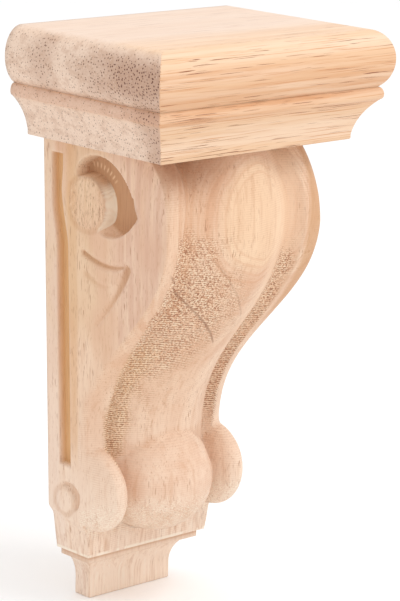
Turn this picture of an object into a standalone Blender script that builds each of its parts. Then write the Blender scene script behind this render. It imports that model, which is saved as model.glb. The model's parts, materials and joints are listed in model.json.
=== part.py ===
"""Carved wooden corbel: a scrolled bracket body under a moulded cap block.

Metres, +Z up. X runs across the bracket, the wall plane is y = 0 and the front faces -Y.
The origin is the point on the back face where the bracket is fixed to its wall. Heights in
the sizes below are measured upwards from the underside of the foot, and depths forwards
from the wall plane.
"""

import math

import bmesh
import bpy
import numpy as np

for item in list(bpy.data.objects):
    bpy.data.objects.remove(item, do_unlink=True)

# Heights of the whole bracket
BODY_HEIGHT = 0.1656
CAP_HEIGHT = 0.0371
JOINT_GAP = 0.0003
MOUNT_HEIGHT = 0.1015

# Body: the side faces lean in from the top down to the roll
BODY_TOP_HALF_WIDTH = 0.0356
ROLL_HALF_WIDTH = 0.0315
ROLL_HEIGHT = 0.0442

# S line of the two rims, seen from the side
NECK_HEIGHT = 0.0568
NECK_DEPTH = 0.0179
RIM_CREST_HEIGHT = 0.1447
RIM_CREST_DEPTH = 0.0624
RIM_ARC_RADIUS = 0.0264

# S line of the round band between the rims
BAND_NECK_DEPTH = 0.0290
BAND_CREST_HEIGHT = 0.1420
BAND_CREST_DEPTH = 0.0648
BAND_ARC_RADIUS = 0.0940
BAND_FULLNESS_NECK = 0.80
BAND_FULLNESS_CREST = 1.20

# Rims and grooves: at the neck, and at the crest
RIM_WIDTH_NECK = 0.0075
RIM_WIDTH_CREST = 0.0066
RIM_LEAN_NECK = 0.0040
RIM_LEAN_CREST = -0.0006
GROOVE_REACH_NECK = 0.0030
GROOVE_REACH_CREST = 0.0050
GROOVE_DEPTH_NECK = 0.0025
GROOVE_DEPTH_CREST = 0.0032

# Broken corner between side and front under the cap
EASE_START_HEIGHT = 0.1300
EASE_LENGTH = 0.0120
EASE_INSET = 0.0032

# Roll at the foot of the S: a ball between two beads
BALL_CREST_DEPTH = 0.0389
BALL_RADIUS = 0.0186
BALL_HALF_WIDTH = 0.0208
BEAD_CREST_DEPTH = 0.0343
BEAD_RADIUS = 0.0148
BEAD_OUTER_REACH = 0.0046
BEAD_INNER_REACH = 0.0072
BEAD_EDGE_ROUND = 0.0075
LOBE_FULLNESS = 0.42
ROLL_BLEND_ABOVE = 0.0070
ROLL_BLEND_BELOW = 0.0003
CARVING_START = 0.0517

# Block under the roll, with its step, cove and foot
BLOCK_TOP_HEIGHT = 0.0316
BLOCK_TOP_HALF_WIDTH = 0.0290
BLOCK_HEIGHT = 0.0189
BLOCK_HALF_WIDTH = 0.0271
BLOCK_DEPTH = 0.0168
BLOCK_SHOULDER = 0.0030
BLOCK_SHOULDER_DROP = 0.0037
STEP_HEIGHT = 0.0159
STEP_INSET = 0.00195
LEDGE_FALL = 0.0002
COVE_RISE = 0.0099
FOOT_HALF_WIDTH = 0.0185
FOOT_DEPTH = 0.0077

# Cap: plan at its underside, and the moulding's offsets from that plan
CAP_HALF_WIDTH = 0.0425
CAP_DEPTH = 0.0669
CAP_UPRIGHT = 0.0016
CAP_COVE_REACH = 0.0068
CAP_COVE_HOLLOW = 0.0012
CAP_FILLET_HEIGHT = 0.0139
CAP_FILLET_BULGE = 0.0011
CAP_QUIRK_HEIGHT = 0.0180
CAP_QUIRK_REACH = 0.0060
CAP_NOSE_HEIGHT = 0.0273
CAP_NOSE_REACH = 0.0100
CAP_TOP_REACH = 0.0031

# Routed channel along the back of each side face
CHANNEL_DEPTH = 0.0030
CHANNEL_BOTTOM = 0.0516
CHANNEL_TOP = 0.1600
CHANNEL_BACK = 0.0060
CHANNEL_WIDTH = 0.0062
CHANNEL_SHIFT_START = 0.1263
CHANNEL_SHIFT_END = 0.1449
CHANNEL_SHIFT = 0.0022
CHANNEL_PINCH_HEIGHT = 0.1480
CHANNEL_PINCH_SPREAD = 0.0056
CHANNEL_PINCH = 0.0009

# Upper scroll on each side: a round eye with a scoop winding around it
EYE_DEPTH = 0.0213
EYE_HEIGHT = 0.1449
EYE_RADIUS = 0.0093
SCOOP_START = math.radians(118.0)
SCOOP_END = math.radians(-52.0)
SCOOP_WIDEST = math.radians(-2.0)
SCOOP_REACH = 0.0254
SCOOP_CUT = 0.0052

# Lower scroll on each side: a small eye with a short scoop
SMALL_EYE_DEPTH = 0.0083
SMALL_EYE_HEIGHT = 0.0384
SMALL_EYE_RADIUS = 0.0050
SMALL_SCOOP_START = math.radians(125.0)
SMALL_SCOOP_END = math.radians(-55.0)
SMALL_SCOOP_WIDEST = math.radians(25.0)
SMALL_SCOOP_REACH = 0.0087
SMALL_SCOOP_CUT = 0.0016

# Shape of both scoops: how fast they open, and their section from the eye outwards
SCOOP_OPENING = 0.65
SCOOP_LEAD_SHARE = 0.25
SCOOP_FADE_RATE = 1.6
SCOOP_LEAST_WIDTH = 0.0003
SCOOP_LEAST_CUT = 0.0001
SCOOP_INNER_CORNER = 0.08
SCOOP_DEEPEST = 0.45
SCOOP_OUTER_CORNER = 0.86
SCOOP_WALL_FOOT = 0.35
SCOOP_CORNER_CUT = 0.85

# Two gouge strokes below the upper scroll, as depths and heights from the centre of its eye
STROKE_RADIUS = 0.0013
STROKE_LIFT = 0.0003
LEVEL_STROKE = ((-0.0016, -0.0169), (0.0087, -0.0194), (0.0182, -0.0184))
LEVEL_STROKE_END = 0.70
FALLING_STROKE = ((0.0203, -0.0190), (0.0145, -0.0290), (0.0050, -0.0400))
FALLING_STROKE_END = 0.45

# Fineness of the lofted surfaces
BAND_PARTS = 9
GROOVE_PARTS = 3
RIM_PARTS = 5
EASE_PARTS = 3
BLOCK_PARTS = 3
ROLL_PARTS = 24
SWEEP_PITCH = 0.0028
COVE_PARTS = 6
NOSE_PARTS = 10
CHANNEL_PARTS = 15
SCOOP_PARTS = 26
STROKE_POINTS = 9
STROKE_BEVEL_PARTS = 2
WELD_DISTANCE = 1e-6
SHARP_ANGLE = math.radians(35.0)
CUT_OUTSIDE = 0.0040

HALF_PI = math.pi / 2.0


def mix(first, second, share):
    """Value a share of the way from first to second."""
    return first + (second - first) * share


def smooth(t):
    """Zero below 0, one above 1, with neither slope nor bend at both ends."""
    t = np.clip(t, 0.0, 1.0)
    return t * t * t * (t * (6.0 * t - 15.0) + 10.0)


def side_half_width(height):
    """Half the body's width, from the side faces that lean in towards the roll."""
    share = (height - ROLL_HEIGHT) / (BODY_HEIGHT - ROLL_HEIGHT)
    return mix(ROLL_HALF_WIDTH, BODY_TOP_HALF_WIDTH, share)


def block_half_width(height):
    """Half the width of the block under the roll, which tapers downwards."""
    share = (height - BLOCK_HEIGHT) / (BLOCK_TOP_HEIGHT - BLOCK_HEIGHT)
    return mix(BLOCK_HALF_WIDTH, BLOCK_TOP_HALF_WIDTH, np.clip(share, 0.0, 1.0))


def half_width(height, depth):
    """Half-width at a height and depth: side face above, block below, a round shoulder between."""
    shoulder_mid = BLOCK_TOP_HEIGHT + BLOCK_SHOULDER_DROP * (0.5 - depth / NECK_DEPTH)
    above = smooth((height - shoulder_mid) / BLOCK_SHOULDER + 0.5)
    return mix(block_half_width(height), side_half_width(height), above)


def s_line(height, neck_depth, crest_depth, crest_height, arc_radius):
    """Depth of an S line: out from the neck to the crest, then back over an arc to the cap."""
    rise = smooth((height - NECK_HEIGHT) / (crest_height - NECK_HEIGHT))
    over = np.clip(height - crest_height, 0.0, arc_radius)
    arc_drop = arc_radius - np.sqrt(arc_radius ** 2 - over ** 2)
    return mix(neck_depth, crest_depth, rise) - arc_drop


def lobe(share, crest_depth):
    """Front of a rounded lobe standing out of the block's face: share is 1 at its crest, 0 around it."""
    out = np.where(share > 0.0, np.maximum(share, 0.0) ** LOBE_FULLNESS, share)
    return mix(BLOCK_DEPTH, crest_depth, out)


def soft_maximum(first, second, radius):
    """Larger of two values, with a fillet of about this size where they meet."""
    near = np.maximum(radius - np.abs(first - second), 0.0)
    return np.maximum(first, second) + near ** 2 / (4.0 * radius)


def front_layout(height):
    """Sizes across the front at a height: rim, rim lean, groove reach and depth, band fullness."""
    share = smooth((height - NECK_HEIGHT) / (RIM_CREST_HEIGHT - NECK_HEIGHT))
    rim = mix(RIM_WIDTH_NECK, RIM_WIDTH_CREST, share)
    lean = mix(RIM_LEAN_NECK, RIM_LEAN_CREST, share)
    reach = mix(GROOVE_REACH_NECK, GROOVE_REACH_CREST, share)
    groove = mix(GROOVE_DEPTH_NECK, GROOVE_DEPTH_CREST, share)
    fullness = mix(BAND_FULLNESS_NECK, BAND_FULLNESS_CREST, share)
    return rim, lean, reach, groove, fullness


def front_depth(x, height, half):
    """Depth of the carved front: rims, grooves and band, with the roll's lobes over them."""
    rim_width, lean, reach, groove, fullness = front_layout(height)
    rim_line = s_line(height, NECK_DEPTH, RIM_CREST_DEPTH, RIM_CREST_HEIGHT, RIM_ARC_RADIUS)
    band_line = s_line(height, BAND_NECK_DEPTH, BAND_CREST_DEPTH, BAND_CREST_HEIGHT, BAND_ARC_RADIUS)
    block_share = np.clip((height - BLOCK_HEIGHT) / (BLOCK_TOP_HEIGHT - BLOCK_HEIGHT), 0.0, 1.0)
    base_line = mix(BLOCK_DEPTH, rim_line, block_share)
    carved = smooth((height - ROLL_HEIGHT) / (CARVING_START - ROLL_HEIGHT))

    inwards = half - np.abs(x)
    lean_part = lean * np.clip(inwards / rim_width, 0.0, 1.0)
    wall = np.clip((inwards - rim_width) / reach, 0.0, 1.0)
    hollow = groove * (1.0 - (1.0 - wall) ** 2)
    band_half = half - rim_width - reach
    arch = np.clip(1.0 - (x / band_half) ** 2, 0.0, 1.0) ** fullness
    band_part = (band_line - rim_line - lean + groove) * arch
    swept = base_line + carved * (lean_part - hollow + band_part)

    above = height - ROLL_HEIGHT
    ball = lobe(1.0 - (x / BALL_HALF_WIDTH) ** 2 - (above / BALL_RADIUS) ** 2, BALL_CREST_DEPTH)
    off_crest = np.abs(x) - side_half_width(height) + BEAD_OUTER_REACH
    inner_square = 1.0 - (off_crest / BEAD_INNER_REACH) ** 2
    outer_round = np.sqrt(np.clip(1.0 - (off_crest / BEAD_OUTER_REACH) ** 2, 0.0, 1.0))
    outer_square = mix(1.0 - BEAD_EDGE_ROUND / BEAD_RADIUS, 1.0, outer_round) ** 2
    bead_square = np.where(off_crest > 0.0, outer_square, inner_square)
    bead = lobe(bead_square - (above / BEAD_RADIUS) ** 2, BEAD_CREST_DEPTH)
    blend = mix(ROLL_BLEND_BELOW, ROLL_BLEND_ABOVE, smooth(above / BEAD_RADIUS))
    return soft_maximum(swept, np.maximum(ball, bead), blend)


def body_section(height):
    """One level of the carved body: a ring of points from the back left round to the back right."""
    ease = smooth((height - EASE_START_HEIGHT) / (BODY_HEIGHT - EASE_START_HEIGHT))
    near_half = half_width(height, NECK_DEPTH)
    near_depth = front_depth(near_half, height, near_half)
    edge_half = half_width(height, near_depth) - EASE_INSET * ease
    rim_width, _, reach, _, _ = front_layout(height)
    ridge = edge_half - rim_width
    steps = np.concatenate([
        np.linspace(0.0, ridge - reach, BAND_PARTS + 1),
        np.linspace(ridge - reach, ridge, GROOVE_PARTS + 1)[1:],
        np.linspace(ridge, edge_half, RIM_PARTS + 1)[1:],
    ])
    x = np.concatenate([-steps[::-1], steps[1:]])
    depth = front_depth(x, height, edge_half)

    edge_depth = depth[0]
    along = np.linspace(0.0, 1.0, EASE_PARTS + 1)[:-1]
    side_depth = edge_depth - EASE_LENGTH * ease * (1.0 - along)
    side_x = half_width(height, side_depth) - EASE_INSET * ease * along ** 2
    if ease == 0.0:
        side_depth = edge_depth * along
        side_x = half_width(height, side_depth)
    else:
        side_depth[0] = 0.0
        side_x[0] = half_width(height, 0.0)
    left = np.column_stack([-side_x, -side_depth])
    right = np.column_stack([side_x, -side_depth])[::-1]
    return np.vstack([left, np.column_stack([x, -depth]), right])


def plain_section(half, depth, count):
    """One level of the block, step, cove or foot: a rectangle with the body ring's number of points."""
    front_count = count - 2 * EASE_PARTS
    along = np.linspace(0.0, depth, EASE_PARTS + 1)[:-1]
    left = np.column_stack([np.full(EASE_PARTS, -half), -along])
    front = np.column_stack([np.linspace(-half, half, front_count), np.full(front_count, -depth)])
    right = left[::-1] * [-1.0, 1.0]
    return np.vstack([left, front, right])


def loft(name, heights, rings):
    """Closed solid through rings of equal point count, capped flat at both ends."""
    mesh = bmesh.new()
    rows = []
    for height, ring in zip(heights, rings):
        rows.append([mesh.verts.new((x, y, height - MOUNT_HEIGHT)) for x, y in ring])
    count = len(rows[0])
    for low, high in zip(rows, rows[1:]):
        for i in range(count):
            j = (i + 1) % count
            mesh.faces.new((low[j], low[i], high[i], high[j]))
    mesh.faces.new(rows[0])
    mesh.faces.new(rows[-1][::-1])
    bmesh.ops.recalc_face_normals(mesh, faces=mesh.faces)
    return finish_mesh(name, mesh)


def finish_mesh(name, mesh):
    """Object of this name from a bmesh, linked to the parts."""
    data = bpy.data.meshes.new(name)
    mesh.to_mesh(data)
    mesh.free()
    item = bpy.data.objects.new(name, data)
    parts.objects.link(item)
    return item


def move_to_cutters(item):
    """Keeps a cutting shape out of the finished bracket."""
    for group in list(item.users_collection):
        group.objects.unlink(item)
    cutters.objects.link(item)
    item.hide_render = True
    item.display_type = 'WIRE'


def material(name, colour, roughness):
    """Bare wood of one colour."""
    wood = bpy.data.materials.new(name)
    wood.use_nodes = True
    shader = wood.node_tree.nodes["Principled BSDF"]
    shader.inputs["Base Color"].default_value = (*colour, 1.0)
    shader.inputs["Roughness"].default_value = roughness
    shader.inputs["Metallic"].default_value = 0.0
    return wood


def curve_to_mesh(name, curve):
    """Mesh object of this name from a curve, with its caps welded."""
    drawn = bpy.data.objects.new(name, curve)
    parts.objects.link(drawn)
    bpy.context.view_layer.update()
    graph = bpy.context.evaluated_depsgraph_get()
    data = bpy.data.meshes.new_from_object(drawn.evaluated_get(graph))
    bpy.data.objects.remove(drawn, do_unlink=True)
    bpy.data.curves.remove(curve)

    mesh = bmesh.new()
    mesh.from_mesh(data)
    bpy.data.meshes.remove(data)
    bmesh.ops.remove_doubles(mesh, verts=mesh.verts, dist=WELD_DISTANCE)
    bmesh.ops.recalc_face_normals(mesh, faces=mesh.faces)
    return finish_mesh(name, mesh)


def outline_prism(name, outline, half_length):
    """Solid from a flat outline in its own XY plane, extruded both ways along its own Z."""
    curve = bpy.data.curves.new(name, 'CURVE')
    curve.dimensions = '2D'
    curve.fill_mode = 'BOTH'
    curve.extrude = half_length
    spline = curve.splines.new('POLY')
    spline.points.add(len(outline) - 1)
    for point, (u, v) in zip(spline.points, outline):
        point.co = (u, v, 0.0, 1.0)
    spline.use_cyclic_u = True
    return curve_to_mesh(name, curve)


def boolean(item, cutter, operation):
    """Adds an exact Boolean with another solid."""
    modifier = item.modifiers.new(cutter.name, 'BOOLEAN')
    modifier.operation = operation
    modifier.solver = 'EXACT'
    modifier.object = cutter


def body_heights():
    """Levels from the block up: closest at the roll's underside and top, wider on the S."""
    turn = np.linspace(0.0, math.pi, ROLL_PARTS + 1)
    roll = ROLL_HEIGHT - BALL_RADIUS * np.cos(turn)
    block = np.linspace(BLOCK_HEIGHT, roll[0], BLOCK_PARTS + 1)[:-1]
    sweep_count = math.ceil((BODY_HEIGHT - roll[-1]) / SWEEP_PITCH)
    swept = np.linspace(roll[-1], BODY_HEIGHT, sweep_count + 1)[1:]
    return np.concatenate([block, roll, swept])


def make_body():
    """Carved bracket in one piece, from the foot to the joint under the cap."""
    upper_heights = body_heights()
    upper_rings = [body_section(height) for height in upper_heights]
    count = len(upper_rings[0])

    step_half = BLOCK_HALF_WIDTH - STEP_INSET
    step_depth = BLOCK_DEPTH - STEP_INSET
    turn = np.linspace(HALF_PI, 0.0, COVE_PARTS + 1)
    cove_heights = STEP_HEIGHT - COVE_RISE * (1.0 - np.cos(turn))
    cove_halves = mix(step_half, FOOT_HALF_WIDTH, np.sin(turn))
    cove_depths = mix(step_depth, FOOT_DEPTH, np.sin(turn))

    heights = [0.0, *cove_heights, BLOCK_HEIGHT - LEDGE_FALL]
    rings = [plain_section(FOOT_HALF_WIDTH, FOOT_DEPTH, count)]
    rings += [plain_section(half, depth, count) for half, depth in zip(cove_halves, cove_depths)]
    rings.append(plain_section(step_half, step_depth, count))
    return loft("corbel_body", [*heights, *upper_heights], rings + upper_rings)


def cap_profile():
    """Moulding of the cap from its underside up, as offsets from the plan and heights."""
    cove_start = np.array([0.0, CAP_UPRIGHT])
    cove_end = np.array([CAP_COVE_REACH, CAP_FILLET_HEIGHT])
    along = np.linspace(0.0, 1.0, COVE_PARTS + 1)[:, None]
    chord = cove_end - cove_start
    hollow_way = np.array([-chord[1], chord[0]]) / np.hypot(*chord)
    cove = cove_start + along * chord + CAP_COVE_HOLLOW * 4.0 * along * (1.0 - along) * hollow_way

    fillet_rise = CAP_QUIRK_HEIGHT - CAP_FILLET_HEIGHT
    turn = np.linspace(0.0, math.pi, COVE_PARTS + 1)[1:-1]
    fillet_reach = mix(CAP_COVE_REACH, CAP_QUIRK_REACH, turn / math.pi)
    fillet = np.column_stack([
        fillet_reach + CAP_FILLET_BULGE * np.sin(turn),
        CAP_FILLET_HEIGHT + fillet_rise * (1.0 - np.cos(turn)) / 2.0,
    ])

    nose_width = CAP_NOSE_REACH - CAP_TOP_REACH
    quirk_angle = math.acos((CAP_QUIRK_REACH - CAP_TOP_REACH) / nose_width)
    low_rise = (CAP_NOSE_HEIGHT - CAP_QUIRK_HEIGHT) / math.sin(quirk_angle)
    turn = np.linspace(-quirk_angle, HALF_PI, NOSE_PARTS + 1)
    rise = np.where(turn < 0.0, low_rise, CAP_HEIGHT - CAP_NOSE_HEIGHT)
    nose = np.column_stack([
        CAP_TOP_REACH + nose_width * np.cos(turn),
        CAP_NOSE_HEIGHT + rise * np.sin(turn),
    ])
    return np.vstack([[0.0, 0.0], cove, fillet, nose])


def make_cap():
    """Cap block: the same moulding on the front and both ends, mitred at the corners, flat at the back."""
    profile = cap_profile()
    reach = CAP_HALF_WIDTH + CAP_NOSE_REACH
    bottom = BODY_HEIGHT + JOINT_GAP - MOUNT_HEIGHT

    front_outline = [(0.0, 0.0), *((-CAP_DEPTH - o, h) for o, h in profile), (0.0, CAP_HEIGHT)]
    cap = outline_prism("corbel_cap", front_outline, reach + CUT_OUTSIDE)
    cap.rotation_euler = (HALF_PI, 0.0, HALF_PI)
    cap.location = (0.0, 0.0, bottom)

    low = [(0.0, -CUT_OUTSIDE), (profile[0][0], -CUT_OUTSIDE)]
    high = [(profile[-1][0], CAP_HEIGHT + CUT_OUTSIDE)]
    right_side = [(CAP_HALF_WIDTH + o, h) for o, h in [low[1], *profile, *high]]
    left_side = [(-x, h) for x, h in right_side[::-1]]
    ends = outline_prism("cap_ends", right_side + left_side, CAP_DEPTH + CAP_NOSE_REACH + CUT_OUTSIDE)
    ends.rotation_euler = (HALF_PI, 0.0, 0.0)
    ends.location = (0.0, 0.0, bottom)
    move_to_cutters(ends)
    boolean(cap, ends, 'INTERSECT')
    return cap


def place_on_side(item):
    """Puts a carving shape, made with x = 0 as the left side face, on both leaning side faces."""
    lean = math.atan2(BODY_TOP_HALF_WIDTH - ROLL_HALF_WIDTH, BODY_HEIGHT - ROLL_HEIGHT)
    item.rotation_euler = (0.0, -lean, 0.0)
    item.location = (-side_half_width(0.0), 0.0, -MOUNT_HEIGHT)
    mirror = item.modifiers.new("other_side", 'MIRROR')
    mirror.mirror_object = middle
    mirror.use_mirror_merge = False
    mirror.merge_threshold = 0.0001
    move_to_cutters(item)


def channel_outline():
    """Channel on a side face, as y and height: it shifts back and is pinched beside the upper scroll."""
    heights = np.linspace(CHANNEL_BOTTOM, CHANNEL_TOP, CHANNEL_PARTS + 1)
    shift = smooth((heights - CHANNEL_SHIFT_START) / (CHANNEL_SHIFT_END - CHANNEL_SHIFT_START))
    pinch = np.exp(-((heights - CHANNEL_PINCH_HEIGHT) / CHANNEL_PINCH_SPREAD) ** 2)
    back = CHANNEL_BACK - CHANNEL_SHIFT * shift
    front = back + CHANNEL_WIDTH - CHANNEL_PINCH * pinch
    return [*zip(-back, heights), *zip(-front[::-1], heights[::-1])]


def channel_cutter():
    """Square-edged cutter for the channel, standing both ways out of the side face."""
    channel = outline_prism("channel_cut", channel_outline(), CHANNEL_DEPTH)
    for vert in channel.data.vertices:
        vert.co = (vert.co.z, vert.co.x, vert.co.y)
    return channel


def scoop_cutter(name, centre, eye_radius, angles, reach, cut):
    """Scoop winding around an eye: opens from its start, is widest part way and fades at its end."""
    start, widest, end = angles
    turn = np.linspace(start, end, SCOOP_PARTS + 1)
    opening = np.clip((start - turn) / (start - widest), 0.0, 1.0) ** SCOOP_OPENING
    closing = np.clip((turn - end) / (widest - end), 0.0, 1.0)
    widths = SCOOP_LEAST_WIDTH + (reach - eye_radius) * np.minimum(opening, closing)
    lead = smooth((start - turn) / (SCOOP_LEAD_SHARE * (start - end)))
    floors = SCOOP_LEAST_CUT + cut * lead * smooth(SCOOP_FADE_RATE * closing)

    mesh = bmesh.new()
    rows = []
    for angle, width, floor in zip(turn, widths, floors):
        section = [
            (0.0, -CUT_OUTSIDE),
            (0.0, SCOOP_WALL_FOOT * floor),
            (SCOOP_INNER_CORNER, SCOOP_CORNER_CUT * floor),
            (SCOOP_DEEPEST, floor),
            (SCOOP_OUTER_CORNER, SCOOP_CORNER_CUT * floor),
            (1.0, SCOOP_WALL_FOOT * floor),
            (1.0, -CUT_OUTSIDE),
        ]
        row = []
        for share, into in section:
            radius = eye_radius + share * width
            depth = centre[0] + radius * math.cos(angle)
            row.append(mesh.verts.new((into, -depth, centre[1] + radius * math.sin(angle))))
        rows.append(row)
    count = len(rows[0])
    for low, high in zip(rows, rows[1:]):
        for i in range(count):
            j = (i + 1) % count
            mesh.faces.new((low[i], low[j], high[j], high[i]))
    mesh.faces.new(rows[0])
    mesh.faces.new(rows[-1][::-1])
    bmesh.ops.recalc_face_normals(mesh, faces=mesh.faces)
    return finish_mesh(name, mesh)


def stroke_cutter(name, line, end_share):
    """Gouge stroke: a round tool drawn over three points on the side face, thinner at its far end."""
    start, halfway, end = (np.array([EYE_DEPTH, EYE_HEIGHT]) + point for point in line)
    control = 2.0 * halfway - 0.5 * (start + end)
    shares = np.linspace(0.0, 1.0, STROKE_POINTS)
    t = shares[:, None]
    points = (1.0 - t) ** 2 * start + 2.0 * t * (1.0 - t) * control + t ** 2 * end

    curve = bpy.data.curves.new(name, 'CURVE')
    curve.dimensions = '3D'
    curve.bevel_depth = STROKE_RADIUS
    curve.bevel_resolution = STROKE_BEVEL_PARTS
    curve.use_fill_caps = True
    spline = curve.splines.new('POLY')
    spline.points.add(len(points) - 1)
    for place, (depth, height), share in zip(spline.points, points, shares):
        place.co = (-STROKE_LIFT, -depth, height, 1.0)
        place.radius = mix(1.0, end_share, share)
    return curve_to_mesh(name, curve)


def carve_sides(body):
    """Cuts the channel, both scrolls and the strokes into the two side faces."""
    channel = channel_cutter()
    scoop = scoop_cutter("scoop_cut", (EYE_DEPTH, EYE_HEIGHT), EYE_RADIUS,
                         (SCOOP_START, SCOOP_WIDEST, SCOOP_END), SCOOP_REACH, SCOOP_CUT)
    small = scoop_cutter("small_scoop_cut", (SMALL_EYE_DEPTH, SMALL_EYE_HEIGHT), SMALL_EYE_RADIUS,
                         (SMALL_SCOOP_START, SMALL_SCOOP_WIDEST, SMALL_SCOOP_END),
                         SMALL_SCOOP_REACH, SMALL_SCOOP_CUT)
    level = stroke_cutter("level_stroke_cut", LEVEL_STROKE, LEVEL_STROKE_END)
    falling = stroke_cutter("falling_stroke_cut", FALLING_STROKE, FALLING_STROKE_END)
    for cutter in (channel, scoop, small, level, falling):
        place_on_side(cutter)
        boolean(body, cutter, 'DIFFERENCE')


parts = bpy.data.collections.new("wooden_corbel_bracket")
cutters = bpy.data.collections.new("corbel_cutters")
bpy.context.scene.collection.children.link(parts)
bpy.context.scene.collection.children.link(cutters)

middle = bpy.data.objects.new("middle_plane", None)
parts.objects.link(middle)

corbel_body = make_body()
carve_sides(corbel_body)
corbel_cap = make_cap()

corbel_body.data.materials.append(material("body_wood", (0.78, 0.58, 0.42), 0.55))
corbel_cap.data.materials.append(material("cap_wood", (0.80, 0.62, 0.46), 0.50))
for item in (corbel_body, corbel_cap):
    item.data.shade_smooth()
    item.data.set_sharp_from_angle(angle=SHARP_ANGLE)
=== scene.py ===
# %% [markdown]
# # Carved wooden corbel
#
# A corbel is a bracket that stands out of a wall and carries a shelf, a beam or a mantel.
# This one is bare, pale hardwood: a moulded cap block, and under it a body with an S-shaped
# front that ends in a roll, over a small block and foot. Both pieces were cut by machine,
# so the hollows still show tool marks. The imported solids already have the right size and
# place. Here each of them gets a finer surface and a wood finish.

# %% Load the fixed frame
import json
import math

import bpy
import numpy as np
from mathutils import Matrix, Vector

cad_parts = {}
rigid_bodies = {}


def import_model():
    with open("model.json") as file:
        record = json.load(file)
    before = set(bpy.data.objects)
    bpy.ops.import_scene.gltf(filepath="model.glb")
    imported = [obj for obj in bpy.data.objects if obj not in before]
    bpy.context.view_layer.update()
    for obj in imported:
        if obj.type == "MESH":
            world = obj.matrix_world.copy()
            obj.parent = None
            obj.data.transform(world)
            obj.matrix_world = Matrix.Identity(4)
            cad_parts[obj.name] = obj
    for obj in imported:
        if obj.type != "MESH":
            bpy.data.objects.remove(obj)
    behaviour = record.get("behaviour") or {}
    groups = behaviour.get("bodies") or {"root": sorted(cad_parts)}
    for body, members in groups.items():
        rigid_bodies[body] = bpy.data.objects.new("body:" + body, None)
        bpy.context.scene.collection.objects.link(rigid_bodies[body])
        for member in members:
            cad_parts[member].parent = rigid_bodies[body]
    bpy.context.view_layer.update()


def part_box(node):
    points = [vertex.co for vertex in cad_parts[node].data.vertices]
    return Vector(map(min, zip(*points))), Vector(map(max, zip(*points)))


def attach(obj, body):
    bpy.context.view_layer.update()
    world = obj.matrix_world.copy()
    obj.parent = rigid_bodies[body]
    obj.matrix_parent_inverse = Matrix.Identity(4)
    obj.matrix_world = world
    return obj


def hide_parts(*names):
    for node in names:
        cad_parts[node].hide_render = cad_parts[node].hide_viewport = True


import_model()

# %% [markdown]
# ## Helpers for values
#
# Every surface below is a grid of points: rows are levels from the bottom up, and columns
# run once round the piece. `mix` goes straight from one value to another, and `smooth`
# rises from 0 to 1 without a kink at either end, as a turned cutter leaves it. Both work on
# whole arrays, so a surface of a hundred thousand points takes a few lines.

# %% Helpers for values
def mix(first, second, share):
    """first plus a share of the way to second."""
    return first + (second - first) * share


def smooth(t):
    """6t^5 - 15t^4 + 10t^3, held at 0 below t = 0 and at 1 above t = 1."""
    t = np.clip(t, 0.0, 1.0)
    return t * t * t * (t * (6.0 * t - 15.0) + 10.0)


print("smooth at 0, 1/4, 1/2 and 1:", smooth(np.array([0.0, 0.25, 0.5, 1.0])).round(3))

# %% [markdown]
# ## The body's outline
#
# Seen from the side, the two rims follow an S: they start at a narrow neck above the roll,
# swell out to a crest near the top, and turn back under the cap. A round band between the
# rims follows an S of its own. Seen from the front, the side faces lean in towards the
# roll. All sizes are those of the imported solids, in metres, with heights from the underside
# of the foot and depths from the wall, so the finer surface lies on the solid.

# %% Sizes of the body
MM = 0.001  # a millimetre, in metres
BODY_HEIGHT, MOUNT_HEIGHT = 0.1656, 0.1015
BODY_TOP_HALF_WIDTH, ROLL_HALF_WIDTH, ROLL_HEIGHT = 0.0356, 0.0315, 0.0442
NECK_HEIGHT, NECK_DEPTH = 0.0568, 0.0179
RIM_CREST_HEIGHT, RIM_CREST_DEPTH, RIM_ARC_RADIUS = 0.1447, 0.0624, 0.0264
BAND_NECK_DEPTH, BAND_CREST_HEIGHT = 0.0290, 0.1420
BAND_CREST_DEPTH, BAND_ARC_RADIUS = 0.0648, 0.0940
BLOCK_TOP_HEIGHT, BLOCK_TOP_HALF_WIDTH = 0.0316, 0.0290
BLOCK_HEIGHT, BLOCK_HALF_WIDTH, BLOCK_DEPTH = 0.0189, 0.0271, 0.0168
BLOCK_SHOULDER, BLOCK_SHOULDER_DROP = 0.0052, 0.0037
STEP_HEIGHT, STEP_INSET, COVE_RISE = 0.0159, 0.00195, 0.0099
FOOT_HALF_WIDTH, FOOT_DEPTH = 0.0185, 0.0077

print(f"body: {BODY_HEIGHT / MM:.1f} mm tall and {2 * BODY_TOP_HALF_WIDTH / MM:.1f} mm wide at the top")


# %% Width and S lines
def side_half_width(height):
    """Half-width between the side faces: straight from the roll's height to the top."""
    share = (height - ROLL_HEIGHT) / (BODY_HEIGHT - ROLL_HEIGHT)
    return mix(ROLL_HALF_WIDTH, BODY_TOP_HALF_WIDTH, share)


def half_width(height, depth):
    """The side faces above and the tapered block below, with a sloping soft shoulder between."""
    share = np.clip((height - BLOCK_HEIGHT) / (BLOCK_TOP_HEIGHT - BLOCK_HEIGHT), 0.0, 1.0)
    block = mix(BLOCK_HALF_WIDTH, BLOCK_TOP_HALF_WIDTH, share)
    shoulder_middle = BLOCK_TOP_HEIGHT + BLOCK_SHOULDER_DROP * (0.5 - depth / NECK_DEPTH)
    above = smooth((height - shoulder_middle) / BLOCK_SHOULDER + 0.5)
    return mix(block, side_half_width(height), above)


def s_line(height, neck_depth, crest_depth, crest_height, arc_radius):
    """A smooth rise from neck to crest, less the drop of a circle's arc above the crest."""
    rise = smooth((height - NECK_HEIGHT) / (crest_height - NECK_HEIGHT))
    over = np.clip(height - crest_height, 0.0, arc_radius)
    return mix(neck_depth, crest_depth, rise) - arc_radius + np.sqrt(arc_radius ** 2 - over ** 2)


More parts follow.
